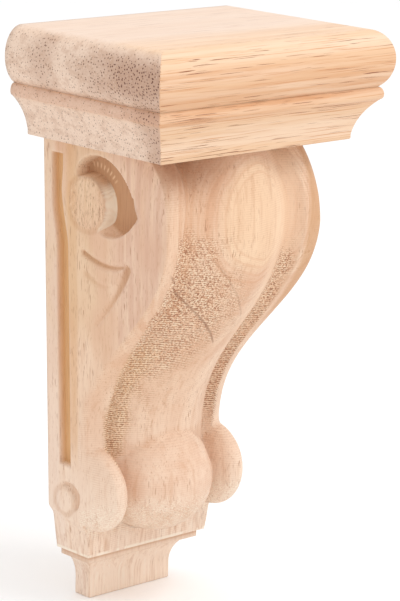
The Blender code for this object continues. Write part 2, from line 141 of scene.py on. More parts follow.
RIM_LINE = (NECK_DEPTH, RIM_CREST_DEPTH, RIM_CREST_HEIGHT, RIM_ARC_RADIUS)
BAND_LINE = (BAND_NECK_DEPTH, BAND_CREST_DEPTH, BAND_CREST_HEIGHT, BAND_ARC_RADIUS)
probe_heights = np.array([NECK_HEIGHT, RIM_CREST_HEIGHT, BODY_HEIGHT])
print("rim depth at neck, crest and top, mm:", (s_line(probe_heights, *RIM_LINE) / MM).round(1))

# %% [markdown]
# ## The roll
#
# The S ends in a roll: a ball between two beads, as if the wood were rolled up and cut into
# three. Each lobe is part of a rounded form that swells quickly out of the block's face and
# flattens towards its crest, which a power below one half gives. Where two lobes meet, the
# larger depth wins, with a fillet, as where a ball-nosed cutter has run along the joint.

# %% Roll
BALL_CREST_DEPTH, BALL_RADIUS, BALL_HALF_WIDTH = 0.0389, 0.0186, 0.0208
BEAD_CREST_DEPTH, BEAD_RADIUS, BEAD_EDGE_ROUND = 0.0343, 0.0148, 0.0075
BEAD_OUTER_REACH, BEAD_INNER_REACH = 0.0046, 0.0072
LOBE_FULLNESS, LOBE_BLEND = 0.42, 0.0050


def lobe(share, crest_depth):
    """share ** fullness, from the block's face at share 0 to the crest at share 1."""
    out = np.where(share > 0.0, np.maximum(share, 0.0) ** LOBE_FULLNESS, share)
    return mix(BLOCK_DEPTH, crest_depth, out)


def soft_maximum(first, second, radius):
    """The larger value, plus (radius - gap)^2 / (4 radius) where the two are that close."""
    near = np.maximum(radius - np.abs(first - second), 0.0)
    return np.maximum(first, second) + near ** 2 / (4.0 * radius)


def roll_depth(x, height):
    """Ball and beads: 1 less the squares of both distances, with a bead's outer side rounded."""
    above = height - ROLL_HEIGHT
    ball = lobe(1.0 - (x / BALL_HALF_WIDTH) ** 2 - (above / BALL_RADIUS) ** 2, BALL_CREST_DEPTH)
    off_crest = np.abs(x) - side_half_width(height) + BEAD_OUTER_REACH
    inner_square = 1.0 - (off_crest / BEAD_INNER_REACH) ** 2
    outer_round = np.sqrt(np.clip(1.0 - (off_crest / BEAD_OUTER_REACH) ** 2, 0.0, 1.0))
    outer_square = mix(1.0 - BEAD_EDGE_ROUND / BEAD_RADIUS, 1.0, outer_round) ** 2
    bead_square = np.where(off_crest > 0.0, outer_square, inner_square)
    bead = lobe(bead_square - (above / BEAD_RADIUS) ** 2, BEAD_CREST_DEPTH)
    return soft_maximum(ball, bead, LOBE_BLEND)


print(f"ball's crest at depth {roll_depth(0.0, ROLL_HEIGHT) / MM:.1f} mm")

# %% [markdown]
# ## The carved front
#
# Across the front come, from each side, a flat rim, a hollow groove and the round band in
# the middle, and low down the roll stands over all of them. A depth worked out for every
# width and height gives the whole front at once, because no part of it hangs behind another
# when seen from the front.

# %% Depth of the front
BAND_FULLNESS = (0.80, 1.20)
RIM_WIDTH, RIM_LEAN = (0.0075, 0.0066), (0.0040, -0.0006)
GROOVE_REACH, GROOVE_DEPTH = (0.0030, 0.0050), (0.0025, 0.0032)
CARVING_START, ROLL_BLEND_BELOW, ROLL_BLEND_ABOVE = 0.0517, 0.0008, 0.0110


def front_layout(height):
    """Rim width and lean, groove reach and depth, and band fullness, each mixed from neck to crest."""
    share = smooth((height - NECK_HEIGHT) / (RIM_CREST_HEIGHT - NECK_HEIGHT))
    pairs = (RIM_WIDTH, RIM_LEAN, GROOVE_REACH, GROOVE_DEPTH, BAND_FULLNESS)
    return [mix(*pair, share) for pair in pairs]


def front_depth(x, height, half):
    """Rim line plus leaning rim, parabolic groove and arched band, under the roll's lobes."""
    rim_width, lean, reach, groove, fullness = front_layout(height)
    rim_line, band_line = s_line(height, *RIM_LINE), s_line(height, *BAND_LINE)
    block_share = np.clip((height - BLOCK_HEIGHT) / (BLOCK_TOP_HEIGHT - BLOCK_HEIGHT), 0.0, 1.0)
    base_line = mix(BLOCK_DEPTH, rim_line, block_share)
    carved = smooth((height - ROLL_HEIGHT) / (CARVING_START - ROLL_HEIGHT))

    inwards = half - np.abs(x)
    lean_part = lean * np.clip(inwards / rim_width, 0.0, 1.0)
    wall = np.clip((inwards - rim_width) / reach, 0.0, 1.0)
    hollow = groove * (1.0 - (1.0 - wall) ** 2)
    arch = np.clip(1.0 - (x / (half - rim_width - reach)) ** 2, 0.0, 1.0) ** fullness
    band_part = (band_line - rim_line - lean + groove) * arch
    swept = base_line + carved * (lean_part - hollow + band_part)
    blend = mix(ROLL_BLEND_BELOW, ROLL_BLEND_ABOVE, smooth((height - ROLL_HEIGHT) / BEAD_RADIUS))
    return soft_maximum(swept, roll_depth(x, height), blend)


band_crest = front_depth(0.0, BAND_CREST_HEIGHT, side_half_width(BAND_CREST_HEIGHT))
print(f"band's crest at depth {band_crest / MM:.1f} mm")

# %% [markdown]
# ## The carved sides
#
# Each side face has a routed channel along its back, a large scroll at the top, which is a
# round eye with a scoop winding around it, two short gouge strokes below, and a small eye
# beside the roll. All of them are cuts of a few millimetres into a flat face, so one
# function can say how deep the cut is at every depth and height. Booleans would give knife
# edges; this gives the slightly soft walls that a router leaves.

# %% Channel
CHANNEL_DEPTH, CHANNEL_BOTTOM, CHANNEL_TOP = 0.0030, 0.0516, 0.1600
CHANNEL_BACK, CHANNEL_WIDTH, CHANNEL_SHIFT = 0.0060, 0.0062, 0.0022
CHANNEL_SHIFT_START, CHANNEL_SHIFT_END = 0.1263, 0.1449
CHANNEL_PINCH_HEIGHT, CHANNEL_PINCH_SPREAD, CHANNEL_PINCH = 0.1480, 0.0056, 0.0009
CHANNEL_WALL = 0.0006
CHANNEL = {"cut": CHANNEL_DEPTH, "tan": 1.0, "tan_from": 0.05}


def hump(value, low, high, soft):
    """1 between low and high and 0 outside them: a smooth rise times a smooth fall, soft wide."""
    return smooth((value - low) / soft + 0.5) * smooth((high - value) / soft + 0.5)


def channel_lines(height):
    """Depths of the channel's back and front walls: both step back beside the scroll."""
    shift = smooth((height - CHANNEL_SHIFT_START) / (CHANNEL_SHIFT_END - CHANNEL_SHIFT_START))
    pinch = np.exp(-((height - CHANNEL_PINCH_HEIGHT) / CHANNEL_PINCH_SPREAD) ** 2)
    back = CHANNEL_BACK - CHANNEL_SHIFT * shift
    return back, back + CHANNEL_WIDTH - CHANNEL_PINCH * pinch


def channel_cut(depth, height):
    """Full depth between the walls and ends, which rise within CHANNEL_WALL."""
    back, front = channel_lines(height)
    across = hump(depth, back + CHANNEL_WALL / 2, front - CHANNEL_WALL / 2, CHANNEL_WALL)
    along = hump(height, CHANNEL_BOTTOM, CHANNEL_TOP, CHANNEL_WALL)
    return CHANNEL_DEPTH * across * along


channel_back, channel_front = channel_lines(probe_heights)
print("channel's width at neck, crest and top, mm:", ((channel_front - channel_back) / MM).round(2))

# %% Scrolls
EYE_DEPTH, EYE_HEIGHT, EYE_RADIUS = 0.0213, 0.1449, 0.0093
SMALL_EYE_DEPTH, SMALL_EYE_HEIGHT, SMALL_EYE_RADIUS = 0.0083, 0.0384, 0.0050
LARGE_SCOOP = {
    "centre": (EYE_DEPTH, EYE_HEIGHT), "eye": EYE_RADIUS, "reach": 0.0254, "cut": 0.0052,
    "angles": (118.0, -2.0, -58.0), "inner_wall": 0.0010, "outer_wall": 0.0014,
    "lead": 0.07, "tan": 0.9, "tan_from": 0.72,
}
SMALL_SCOOP = {
    "centre": (SMALL_EYE_DEPTH, SMALL_EYE_HEIGHT), "eye": SMALL_EYE_RADIUS, "reach": 0.0092,
    "cut": 0.0012, "angles": (125.0, 25.0, -55.0), "inner_wall": 0.0008, "outer_wall": 0.0022,
    "lead": 0.25, "tan": 0.35, "tan_from": 0.2,
}
SCOOP_OPENING, SCOOP_FADE, SCOOP_LIP = 0.65, 1.6, 0.35
BOWL_RISE, BOWL_MIDDLE, BOWL_END = 0.25, 0.45, 0.6
EYE_RING = {"cut": 0.00035, "width": 0.0012, "tan": 0.3, "tan_from": 0.1}


def scoop_cut(depth, height, scoop):
    """Cut of a scoop: polar, from the eye's wall out to a spiral wall, fading at both ends."""
    centre, eye = scoop["centre"], scoop["eye"]
    start, widest, end = np.radians(scoop["angles"])
    out, up = depth - centre[0], height - centre[1]
    radius = np.hypot(out, up)
    turn = np.arctan2(up, out)
    opening = np.clip((start - turn) / (start - widest), 0.0, 1.0) ** SCOOP_OPENING
    closing = np.clip((turn - end) / (widest - end), 0.0, 1.0)
    width = (scoop["reach"] - eye) * np.minimum(opening, closing)
    floor = smooth((start - turn) / (scoop["lead"] * (start - end))) * smooth(SCOOP_FADE * closing)
    inner = smooth((radius - eye) / scoop["inner_wall"])
    outer = smooth((eye + width - radius) / scoop["outer_wall"] + SCOOP_LIP)
    across = (radius - eye) / np.maximum(width, 1e-4) - BOWL_MIDDLE
    bowl = 1.0 - BOWL_RISE * np.clip(across, -BOWL_MIDDLE, BOWL_END) ** 2
    return scoop["cut"] * floor * inner * outer * bowl


def eye_ring_cut(depth, height, scoop):
    """A shallow ring round an eye: a bell curve of the distance from its rim."""
    radius = np.hypot(depth - scoop["centre"][0], height - scoop["centre"][1])
    return EYE_RING["cut"] * np.exp(-((radius - scoop["eye"]) / EYE_RING["width"]) ** 2)


probe_side = np.meshgrid(np.linspace(0.0, 0.05, 101), np.linspace(0.025, BODY_HEIGHT, 282))
deepest_cuts = [scoop_cut(*probe_side, scoop).max() / MM for scoop in (LARGE_SCOOP, SMALL_SCOOP)]
print("scoops' deepest cuts, mm:", np.round(deepest_cuts, 2))

# %% Gouge strokes
LEVEL_STROKE = {"points": ((-0.0016, -0.0169), (0.0087, -0.0194), (0.0182, -0.0184)),
                "end": 0.7, "width": 0.0012, "cut": 0.0013, "tan": 0.8, "tan_from": 0.2}
FALLING_STROKE = {"points": ((0.0203, -0.0190), (0.0145, -0.0290), (0.0050, -0.0400)),
                  "end": 0.4, "width": 0.0021, "cut": 0.0014, "tan": 0.7, "tan_from": 0.2}
FAINT_STROKE = {"points": ((0.0000, -0.0238), (0.0060, -0.0262), (0.0115, -0.0262)),
                "end": 0.5, "width": 0.0015, "cut": 0.0004, "tan": 0.35, "tan_from": 0.2}
STROKE_STEPS = 40


def stroke_cut(depth, height, stroke):
    """Largest of the bell curves round the points of a parabola through three places."""
    start, halfway, end = (np.array([EYE_DEPTH, EYE_HEIGHT]) + point for point in stroke["points"])
    control = 2.0 * halfway - 0.5 * (start + end)
    deepest = np.zeros(np.broadcast(depth, height).shape)
    for share in np.linspace(0.0, 1.0, STROKE_STEPS):
        place = (1 - share) ** 2 * start + 2 * share * (1 - share) * control + share ** 2 * end
        weight = mix(1.0, stroke["end"], share)
        off = ((depth - place[0]) ** 2 + (height - place[1]) ** 2) / (stroke["width"] * weight) ** 2
        deepest = np.maximum(deepest, weight * np.exp(-off))
    return stroke["cut"] * deepest


STROKES = (LEVEL_STROKE, FALLING_STROKE, FAINT_STROKE)
print("strokes' deepest cuts, mm:", [round(stroke_cut(*probe_side, s).max() / MM, 2) for s in STROKES])

# %% All cuts of a side
FLOOR_FROM = 0.95


def side_carving(depth, height):
    """Deepest of the cuts on a side face, and how much each place is the tan floor of one."""
    carvings = [(channel_cut(depth, height), CHANNEL)]
    scoops = (LARGE_SCOOP, SMALL_SCOOP)
    carvings += [(scoop_cut(depth, height, scoop), scoop) for scoop in scoops]
    carvings += [(eye_ring_cut(depth, height, scoop), EYE_RING) for scoop in scoops]
    carvings += [(stroke_cut(depth, height, stroke), stroke) for stroke in STROKES]
    cut = np.maximum.reduce([cut for cut, _ in carvings])
    floor = np.maximum.reduce([
        form["tan"] * smooth((cut / form["cut"] - form["tan_from"]) / (FLOOR_FROM - form["tan_from"]))
        for cut, form in carvings
    ])
    return cut, floor


probe_cut, probe_floor = side_carving(*probe_side)
print(f"share of the side that is cut: {(probe_cut > 0.1 * MM).mean():.2f},",
      f"and that is a tan floor: {(probe_floor > 0.5).mean():.2f}")

# %% [markdown]
# ## Laying out the grid
#
# A grid shows only what its lines are close enough to catch. So the levels are about half a
# millimetre apart where the roll and the scroll are, and wider between them. On the sides,
# columns crowd at the channel's walls and shift back with them, and on the front one column
# always runs along the ridge between rim and groove.

# %% Levels
ROLL_LEVELS_END, S_LEVELS_END = 0.0645, 0.1200
CARVED_LEVELS = np.concatenate([
    BLOCK_HEIGHT + np.array([0.0, 0.00012, 0.0003, 0.0008, 0.0016, 0.0028, 0.0040, 0.0052]),
    np.linspace(0.0250, ROLL_LEVELS_END, 86),
    np.linspace(ROLL_LEVELS_END, S_LEVELS_END, 86)[1:],
    np.linspace(S_LEVELS_END, BODY_HEIGHT - 0.0003, 98)[1:],
    [BODY_HEIGHT - 0.0001, BODY_HEIGHT],
])
print(len(CARVED_LEVELS), "levels above the step, at most", np.diff(CARVED_LEVELS).max().round(5), "m apart")

# %% Side columns
SIDE_NEAR_COLUMNS = np.concatenate([
    np.linspace(0.0, 0.0056, 7),
    CHANNEL_BACK + np.linspace(0.0, 1.0, 5) * CHANNEL_WALL,
    np.linspace(0.0070, 0.0112, 5),
    CHANNEL_BACK + CHANNEL_WIDTH - np.linspace(1.0, 0.0, 5) * CHANNEL_WALL,
    [0.0126, 0.0132, 0.0138],
])
SIDE_NEAR_END = 0.0144
SIDE_FAR_COLUMNS, SIDE_FAR_DENSE_SHARE, SIDE_FAR_DENSE_DEPTH = 78, 0.85, 0.70
EDGE_HEIGHTS = (0.0230, 0.0340, 0.0440, 0.0700, 0.1050, 0.1220, 0.1380, 0.1500, BODY_HEIGHT)
EDGE_RADII = (0.0005, 0.0016, 0.0024, 0.0020, 0.0015, 0.0008, 0.0008, 0.0024, 0.0030)


def edge_radius(height):
    """Radius of the worn arris between side and front: straight between the listed heights."""
    return np.interp(height, EDGE_HEIGHTS, EDGE_RADII)


def side_columns(edge_depth, height):
    """Depths of the side columns at each level: near ones follow the channel, far ones stretch."""
    back, front = channel_lines(height)
    shift = np.interp(SIDE_NEAR_COLUMNS, [0.0, CHANNEL_BACK, SIDE_NEAR_END], [0.0, 1.0, 1.0])
    narrow = np.interp(SIDE_NEAR_COLUMNS, [CHANNEL_BACK, CHANNEL_BACK + CHANNEL_WIDTH], [0.0, 1.0])
    near = SIDE_NEAR_COLUMNS + (back - CHANNEL_BACK) * shift + (front - back - CHANNEL_WIDTH) * narrow
    begin = SIDE_NEAR_END + (front - CHANNEL_BACK - CHANNEL_WIDTH)
    share = np.linspace(0.0, 1.0, SIDE_FAR_COLUMNS)
    share = np.interp(share, [0.0, SIDE_FAR_DENSE_SHARE, 1.0], [0.0, SIDE_FAR_DENSE_DEPTH, 1.0])
    far = begin + (edge_depth - edge_radius(height) - begin) * share
    return np.hstack([near, far])


print(len(SIDE_NEAR_COLUMNS) + SIDE_FAR_COLUMNS, "columns on each side")

# %% Front columns and whole rings
BAND_COLUMNS, GROOVE_COLUMNS, RIM_COLUMNS = 20, 7, 11
EDGE_COLUMNS, BACK_COLUMNS = 6, 8
BODY_BACK_SHARE = np.linspace(1.0, -1.0, BACK_COLUMNS + 2)[1:-1]


def front_columns(half, radius, rim_width, reach):
    """Positions across the front, from left edge to right, evenly spaced in band, groove and rim."""
    ridge, foot = half - rim_width, half - rim_width - reach
    band = foot * np.linspace(0.0, 1.0, BAND_COLUMNS + 1)
    groove = mix(foot, ridge, np.linspace(0.0, 1.0, GROOVE_COLUMNS + 1)[1:])
    rim = mix(ridge, half - radius, np.linspace(0.0, 1.0, RIM_COLUMNS + 1)[1:])
    right = np.hstack([band, groove, rim])
    return np.hstack([-right[:, :0:-1], right])


def rounded_edge(before, after, corner):
    """Points between two others, on the curve that a quadratic blend with their corner gives."""
    t = np.linspace(0.0, 1.0, EDGE_COLUMNS + 2)[1:-1][None, :, None]
    before, after, corner = (p[:, None, :] for p in (before, after, corner))
    return (1 - t) ** 2 * before + 2 * t * (1 - t) * corner + t ** 2 * after


def whole_ring(left, face, corner, back_half, back_share):
    """Left side, worn arris and front, then side and arris mirrored, then the flat back."""
    edge = rounded_edge(left[:, -1], face[:, 0], corner)
    far_side = np.hstack([left, edge])[:, ::-1] * np.array([-1.0, 1.0])
    back_x = back_share * back_half
    back = np.stack([back_x, np.zeros_like(back_x)], axis=-1)
    return np.hstack([left, edge, face, far_side, back])


def ring_marks(side, edge, face):
    """A mark's values round each level: side, arris, front, the first two mirrored, 0 at the back."""
    left = np.hstack([side, np.full((len(side), EDGE_COLUMNS), edge)])
    return np.hstack([left, face, left[:, ::-1], np.zeros((len(side), BACK_COLUMNS))])


print(2 * (BAND_COLUMNS + GROOVE_COLUMNS + RIM_COLUMNS) + 1, "columns across the front")

# %% [markdown]
# ## Torn grain
#
# Where a cutter runs against the grain it tears fibres out instead of shaving them. On this
# piece that happened down the left of the front, in both grooves and under the ball. The
# finish needs to know where, so each point of the front gets a mark from 0 to 1. It is laid
# out in millimetres from simple edges and soft patches, and the node pattern does the rest.

# %% Torn grain
TORN_HEIGHTS = (54.0, 61.0, 76.0, 85.0, 92.0, 100.0, 105.0, 115.0, 128.0, 137.0, 143.0, 150.0)
TORN_RIGHT = (-15.0, -14.0, -9.0, -2.0, 6.0, 12.0, 14.0, 12.0, 1.0, -6.0, -12.0, -20.0)
TORN_LEFT_HEIGHTS, TORN_LEFT = (54.0, 61.0, 87.0, 110.0), (-25.0, -24.0, -29.0, -32.0)
TORN_OVERRUN, TORN_FADE, TORN_POWER, TORN_LEFT_SOFT = 4.0, 26.0, 0.7, 4.0
TORN_ALONG = (51.0, 142.0, 14.0)
TORN_PATCHES = (
    (0.9, (-26.0, -17.0, 4.0), (54.0, 92.0, 7.0)),
    (1.0, (18.0, 27.0, 4.0), (58.0, 132.0, 24.0)),
    (0.7, (-19.0, 10.0, 8.0), (26.0, 38.0, 6.0)),
)


def torn_grain(x, height):
    """Largest of a wedge that fades to the right and the humps in both grooves and under the ball."""
    x, height = x / MM, height / MM
    right = np.interp(height, TORN_HEIGHTS, TORN_RIGHT)
    left = np.interp(height, TORN_LEFT_HEIGHTS, TORN_LEFT)
    wedge = np.clip((right + TORN_OVERRUN - x) / TORN_FADE, 0.0, 1.0) ** TORN_POWER
    wedge = wedge * smooth((x - left) / TORN_LEFT_SOFT) * hump(height, *TORN_ALONG)
    patches = [share * hump(x, *across) * hump(height, *along) for share, across, along in TORN_PATCHES]
    return np.maximum.reduce([wedge, *patches])


print("torn at the left, the middle and the right groove:",
      torn_grain(np.array([-15.0, 0.0, 22.0]) * MM, 0.090).round(2))

# %% [markdown]
# ## Rings of the body
#
# Above the step every level is a ring: straight back, carved sides, worn arrises and carved
# front. Near the cap the arris is eased, so the front's corner draws in a little. Below it,
# foot, cove and step are plain rectangles that change size, with their edges taken off. Both
# kinds have the same columns, so they join into one skin without a seam.

# %% Rings of the carved part
EASE_START_HEIGHT, EASE_LENGTH, EASE_INSET = 0.1300, 0.0120, 0.0032
GROOVE_TAN, GROOVE_TAN_REACH, GROOVE_TAN_SOFT, GROOVE_TAN_START = 0.10, 1.6, 0.6, 0.0002


def carved_rings(height):
    """Rings at all heights above the step, and the marks that the wood finish reads there."""
    h = height[:, None]
    ease = smooth((h - EASE_START_HEIGHT) / (BODY_HEIGHT - EASE_START_HEIGHT))
    near_half = half_width(h, NECK_DEPTH)
    edge_half = half_width(h, front_depth(near_half, h, near_half)) - EASE_INSET * ease
    edge_depth = front_depth(edge_half, h, edge_half)

    depth = side_columns(edge_depth, h)
    eased = EASE_LENGTH * np.maximum(ease, 1e-6)
    inset = EASE_INSET * ease * np.clip((depth - edge_depth + eased) / eased, 0.0, 1.0) ** 2
    cut, floor = side_carving(depth, h)
    side_x = half_width(h, depth) - inset - cut

    rim_width, _, reach, _, _ = front_layout(h)
    x = front_columns(edge_half, edge_radius(h), rim_width, reach)
    left = np.stack([-side_x, depth], axis=-1)
    face = np.stack([x, front_depth(x, h, edge_half)], axis=-1)
    corner = np.hstack([-edge_half, edge_depth])
    ring = whole_ring(left, face, corner, side_x[:, :1], BODY_BACK_SHARE)

    # The grooves' tan is partly the wood's own tone and partly painted shade in the hollow.
    ridge_end, reach_end = rim_width + GROOVE_TAN_START, rim_width + GROOVE_TAN_REACH * reach
    in_groove = hump(edge_half - np.abs(x), ridge_end, reach_end, GROOVE_TAN_SOFT * reach)
    in_groove = in_groove * smooth((h - ROLL_HEIGHT) / (NECK_HEIGHT - ROLL_HEIGHT))
    plain = np.zeros_like(depth)
    return ring, {
        "hollow": ring_marks(floor, 0.0, in_groove * GROOVE_TAN),
        "front": ring_marks(plain, 1.0, np.ones_like(x)),
        "torn": ring_marks(plain, 0.0, torn_grain(x, h)),
    }


top_rings, top_marks = carved_rings(CARVED_LEVELS)
print("rings above the step:", top_rings.shape)

# %% Rings of the foot and step
ARRIS, EDGE_RADIUS, COVE_LEVELS = 0.0004, 0.0005, 15
STEP_TAN, STEP_TAN_DROP, STEP_TAN_SOFT = 0.35, 0.0006, 0.0004


def plain_rings():
    """Rectangles up the foot, its cove and the step, with their edges taken off a little."""
    turn = np.linspace(math.pi / 2, 0.0, COVE_LEVELS)
    step_half, step_depth = BLOCK_HALF_WIDTH - STEP_INSET, BLOCK_DEPTH - STEP_INSET
    cove = np.column_stack([
        STEP_HEIGHT - COVE_RISE * (1.0 - np.cos(turn)),
        mix(step_half - ARRIS, FOOT_HALF_WIDTH, np.sin(turn)),
        mix(step_depth - ARRIS, FOOT_DEPTH, np.sin(turn)),
    ])
    rows = np.vstack([
        [0.0, FOOT_HALF_WIDTH - ARRIS, FOOT_DEPTH - ARRIS],
        [0.3 * ARRIS, FOOT_HALF_WIDTH - 0.3 * ARRIS, FOOT_DEPTH - 0.3 * ARRIS],
        [ARRIS, FOOT_HALF_WIDTH, FOOT_DEPTH],
        [0.0025, FOOT_HALF_WIDTH, FOOT_DEPTH],
        [0.0045, FOOT_HALF_WIDTH, FOOT_DEPTH],
        cove,
        [STEP_HEIGHT + 0.3 * ARRIS, step_half - 0.2 * ARRIS, step_depth - 0.2 * ARRIS],
        [STEP_HEIGHT + ARRIS, step_half, step_depth],
        [BLOCK_HEIGHT - 0.0016, step_half, step_depth],
        [BLOCK_HEIGHT - 0.0002, step_half, step_depth],
        [BLOCK_HEIGHT - 0.0001, BLOCK_HALF_WIDTH - ARRIS, BLOCK_DEPTH - ARRIS],
    ])
    height, half, front = (rows[:, i:i + 1] for i in range(3))
    level = np.full_like(height, BLOCK_HEIGHT)
    share = side_columns(np.full_like(height, BLOCK_DEPTH), level) / (BLOCK_DEPTH - EDGE_RADIUS)
    depth = share * (front - EDGE_RADIUS)
    x = front_columns(half, EDGE_RADIUS, RIM_WIDTH[0], GROOVE_REACH[0])
    left = np.stack([-half + 0.0 * depth, depth], axis=-1)
    face = np.stack([x, front + 0.0 * x], axis=-1)
    ring = whole_ring(left, face, np.hstack([-half, front]), half, BODY_BACK_SHARE)
    plain = np.zeros(ring.shape[:2])
    # The step under the block is tanned: partly the wood's own tone and partly painted shade under the
    # block's edge.
    on_step = hump(height, STEP_HEIGHT - STEP_TAN_DROP, BLOCK_HEIGHT, STEP_TAN_SOFT) + plain
    return rows[:, 0], ring, {"hollow": STEP_TAN * on_step, "front": plain, "torn": plain}


low_heights, low_rings, low_marks = plain_rings()
print("rings of foot and step:", low_rings.shape)

# %% [markdown]
# ## One closed skin
#
# Rings become a mesh by joining each point to its neighbours with quads, from_pydata taking
# all of them at once. The bottom and top are closed by quads that run across like the rungs
# of a ladder, so no face is a fan with a pole. The enclosed volume is a cheap test: it is
# positive only when the faces look outwards, and it should be close to that of the solid.

# %% Helpers for surfaces
def enclosed_volume(mesh):
    """Sum over the triangles of a . (b x c) / 6, with their three corners a, b and c."""
    mesh.calc_loop_triangles()
    corners = np.empty(len(mesh.loop_triangles) * 3, np.int32)
    mesh.loop_triangles.foreach_get("vertices", corners)
    places = np.empty(len(mesh.vertices) * 3, np.float32)
    mesh.vertices.foreach_get("co", places)
    a, b, c = places.reshape(-1, 3).astype(float)[corners.reshape(-1, 3)].transpose(1, 0, 2)
    return (a * np.cross(b, c)).sum() / 6.0


def ring_surface(name, points, back_columns, marks):
    """Closed mesh from points[level, column, xyz], with quads between levels and flat ends.

    Columns run from the back left over the front to the back right, each with a partner on
    the other side, and then back_columns of them run home along the back. An end is a ladder
    of quads between partners. marks holds a value a point for each named attribute, and one
    more mark, facing, is 1 where the surface faces the front and -1 where it faces the wall.
    """
    levels, columns = points.shape[:2]
    index = np.arange(levels * columns).reshape(levels, columns)
    low, high = index[:-1], index[1:]
    walls = np.stack([low, np.roll(low, -1, 1), np.roll(high, -1, 1), high], axis=-1)
    faces = walls.reshape(-1, 4).tolist()
    for row, step in ((index[0].tolist(), -1), (index[-1].tolist(), 1)):
        there, home = row[:-back_columns], row[-back_columns:]
        half = len(there) // 2
        left, middle, right = there[:half], there[half:-half], there[::-1][:half]
        rungs = list(zip(left, left[1:], right[1:], right))
        rungs[0] += tuple(home)
        rungs.append((left[-1], *middle, right[-1]))
        faces += [rung[::step] for rung in rungs]
    mesh = bpy.data.meshes.new(name)
    mesh.from_pydata(points.reshape(-1, 3), [], faces)
    normals = np.empty((levels * columns, 3), np.float32)
    mesh.vertex_normals.foreach_get("vector", normals.ravel())
    for mark, values in {**marks, "facing": -normals[:, 1]}.items():
        layer = mesh.attributes.new(mark, 'FLOAT', 'POINT')
        layer.data.foreach_set("value", np.asarray(values, np.float32).ravel())
    mesh.shade_smooth()
    piece = bpy.data.objects.new(name, mesh)
    bpy.context.scene.collection.objects.link(piece)
    volume = enclosed_volume(mesh) / MM ** 3 / 1000.0
    print(f"{name}: {levels} x {columns} points, {len(mesh.loop_triangles)} triangles, {volume:.1f} cm3")
    return piece


# %% Body surface
CREST_STEPS, CREST_FULL = 2, 0.0005
SUNK_STEPS, SUNK_FULL = 7, 0.0016
PLAN_MIDDLE = np.array([0.0, -0.02])


def stack_levels(heights, rings):
    """Points as x, y, z in the frame: y is minus the depth, z is measured from the mount."""
    z = np.broadcast_to((heights - MOUNT_HEIGHT)[:, None], rings.shape[:2])
    return np.stack([rings[..., 0], -rings[..., 1], z], axis=-1)


def standing(points, wide):
    """How far each point stands proud of the middle of its neighbours wide steps away, in metres."""
    around = (np.roll(points, wide, 1) + np.roll(points, -wide, 1)) / 2.0
    padded = np.pad(points, ((wide, wide), (0, 0), (0, 0)), mode="edge")
    along = (padded[:-2 * wide] + padded[2 * wide:]) / 2.0
    outwards = points[..., :2] - PLAN_MIDDLE
    outwards = outwards / np.linalg.norm(outwards, axis=-1, keepdims=True)
    return ((2.0 * points - around - along)[..., :2] * outwards).sum(-1)


body_heights = np.concatenate([low_heights, CARVED_LEVELS])
body_points = stack_levels(body_heights, np.vstack([low_rings, top_rings]))
body_marks = {mark: np.vstack([low_marks[mark], top_marks[mark]]) for mark in top_marks}
# Convex places, marked for a painted highlight.
body_marks["crest"] = np.clip(standing(body_points, CREST_STEPS) / CREST_FULL, 0.0, 1.0)
# Concave places on the front, marked for painted shade.
sunk_share = np.clip(-standing(body_points, SUNK_STEPS) / SUNK_FULL, 0.0, 1.0)
body_marks["sunk_shade"] = sunk_share * body_marks["front"]
corbel_body = ring_surface("carved_body", body_points, BACK_COLUMNS, body_marks)

# %% [markdown]
# ## The cap
#
# The cap is a block with the same moulding run along its front and both ends, mitred at the
# corners, and sawn flat at the back. From below it has a short upright, a cove that opens
# outwards, a small round fillet, a quirk and a wide nose that turns over onto the flat top.
# The moulding is one profile of offsets and heights. A rectangle that grows by the offset
# at every height makes the mitres by itself.

# %% Cap profile
CAP_HEIGHT, CAP_HALF_WIDTH, CAP_DEPTH, JOINT_GAP = 0.0371, 0.0425, 0.0669, 0.0003
CAP_UPRIGHT, CAP_COVE_REACH, CAP_COVE_HOLLOW = 0.0016, 0.0068, 0.0012
CAP_FILLET_HEIGHT, CAP_FILLET_BULGE = 0.0139, 0.0011
CAP_QUIRK_HEIGHT, CAP_QUIRK_REACH = 0.0180, 0.0060
CAP_NOSE_HEIGHT, CAP_NOSE_REACH, CAP_TOP_REACH = 0.0273, 0.0100, 0.0031
CAP_ARRIS, CAP_COVE_POINTS, CAP_FILLET_POINTS, CAP_NOSE_POINTS = 0.0003, 15, 12, 32


def cap_profile():
    """Offsets and heights: upright, parabolic cove, half-round fillet, elliptic nose."""
    start = np.array([0.0, CAP_UPRIGHT])
    chord = np.array([CAP_COVE_REACH, CAP_FILLET_HEIGHT]) - start
    hollow_way = np.array([-chord[1], chord[0]]) / np.hypot(*chord)
    along = np.linspace(0.0, 1.0, CAP_COVE_POINTS)[:, None]
    cove = start + along * chord + 4.0 * CAP_COVE_HOLLOW * along * (1.0 - along) * hollow_way
    turn = np.linspace(0.0, math.pi, CAP_FILLET_POINTS)[1:-1]
    fillet = np.column_stack([
        mix(CAP_COVE_REACH, CAP_QUIRK_REACH, turn / math.pi) + CAP_FILLET_BULGE * np.sin(turn),
        mix(CAP_FILLET_HEIGHT, CAP_QUIRK_HEIGHT, (1.0 - np.cos(turn)) / 2.0),
    ])
    nose_width = CAP_NOSE_REACH - CAP_TOP_REACH
    quirk_angle = math.acos((CAP_QUIRK_REACH - CAP_TOP_REACH) / nose_width)
    low_rise = (CAP_NOSE_HEIGHT - CAP_QUIRK_HEIGHT) / math.sin(quirk_angle)
    turn = np.linspace(-quirk_angle, math.pi / 2, CAP_NOSE_POINTS)
    rise = np.where(turn < 0.0, low_rise, CAP_HEIGHT - CAP_NOSE_HEIGHT)
    nose = np.column_stack([
        CAP_TOP_REACH + nose_width * np.cos(turn), CAP_NOSE_HEIGHT + rise * np.sin(turn),
    ])
    return np.vstack([[-CAP_ARRIS, 0.0], [0.0, CAP_ARRIS], cove, fillet, nose])


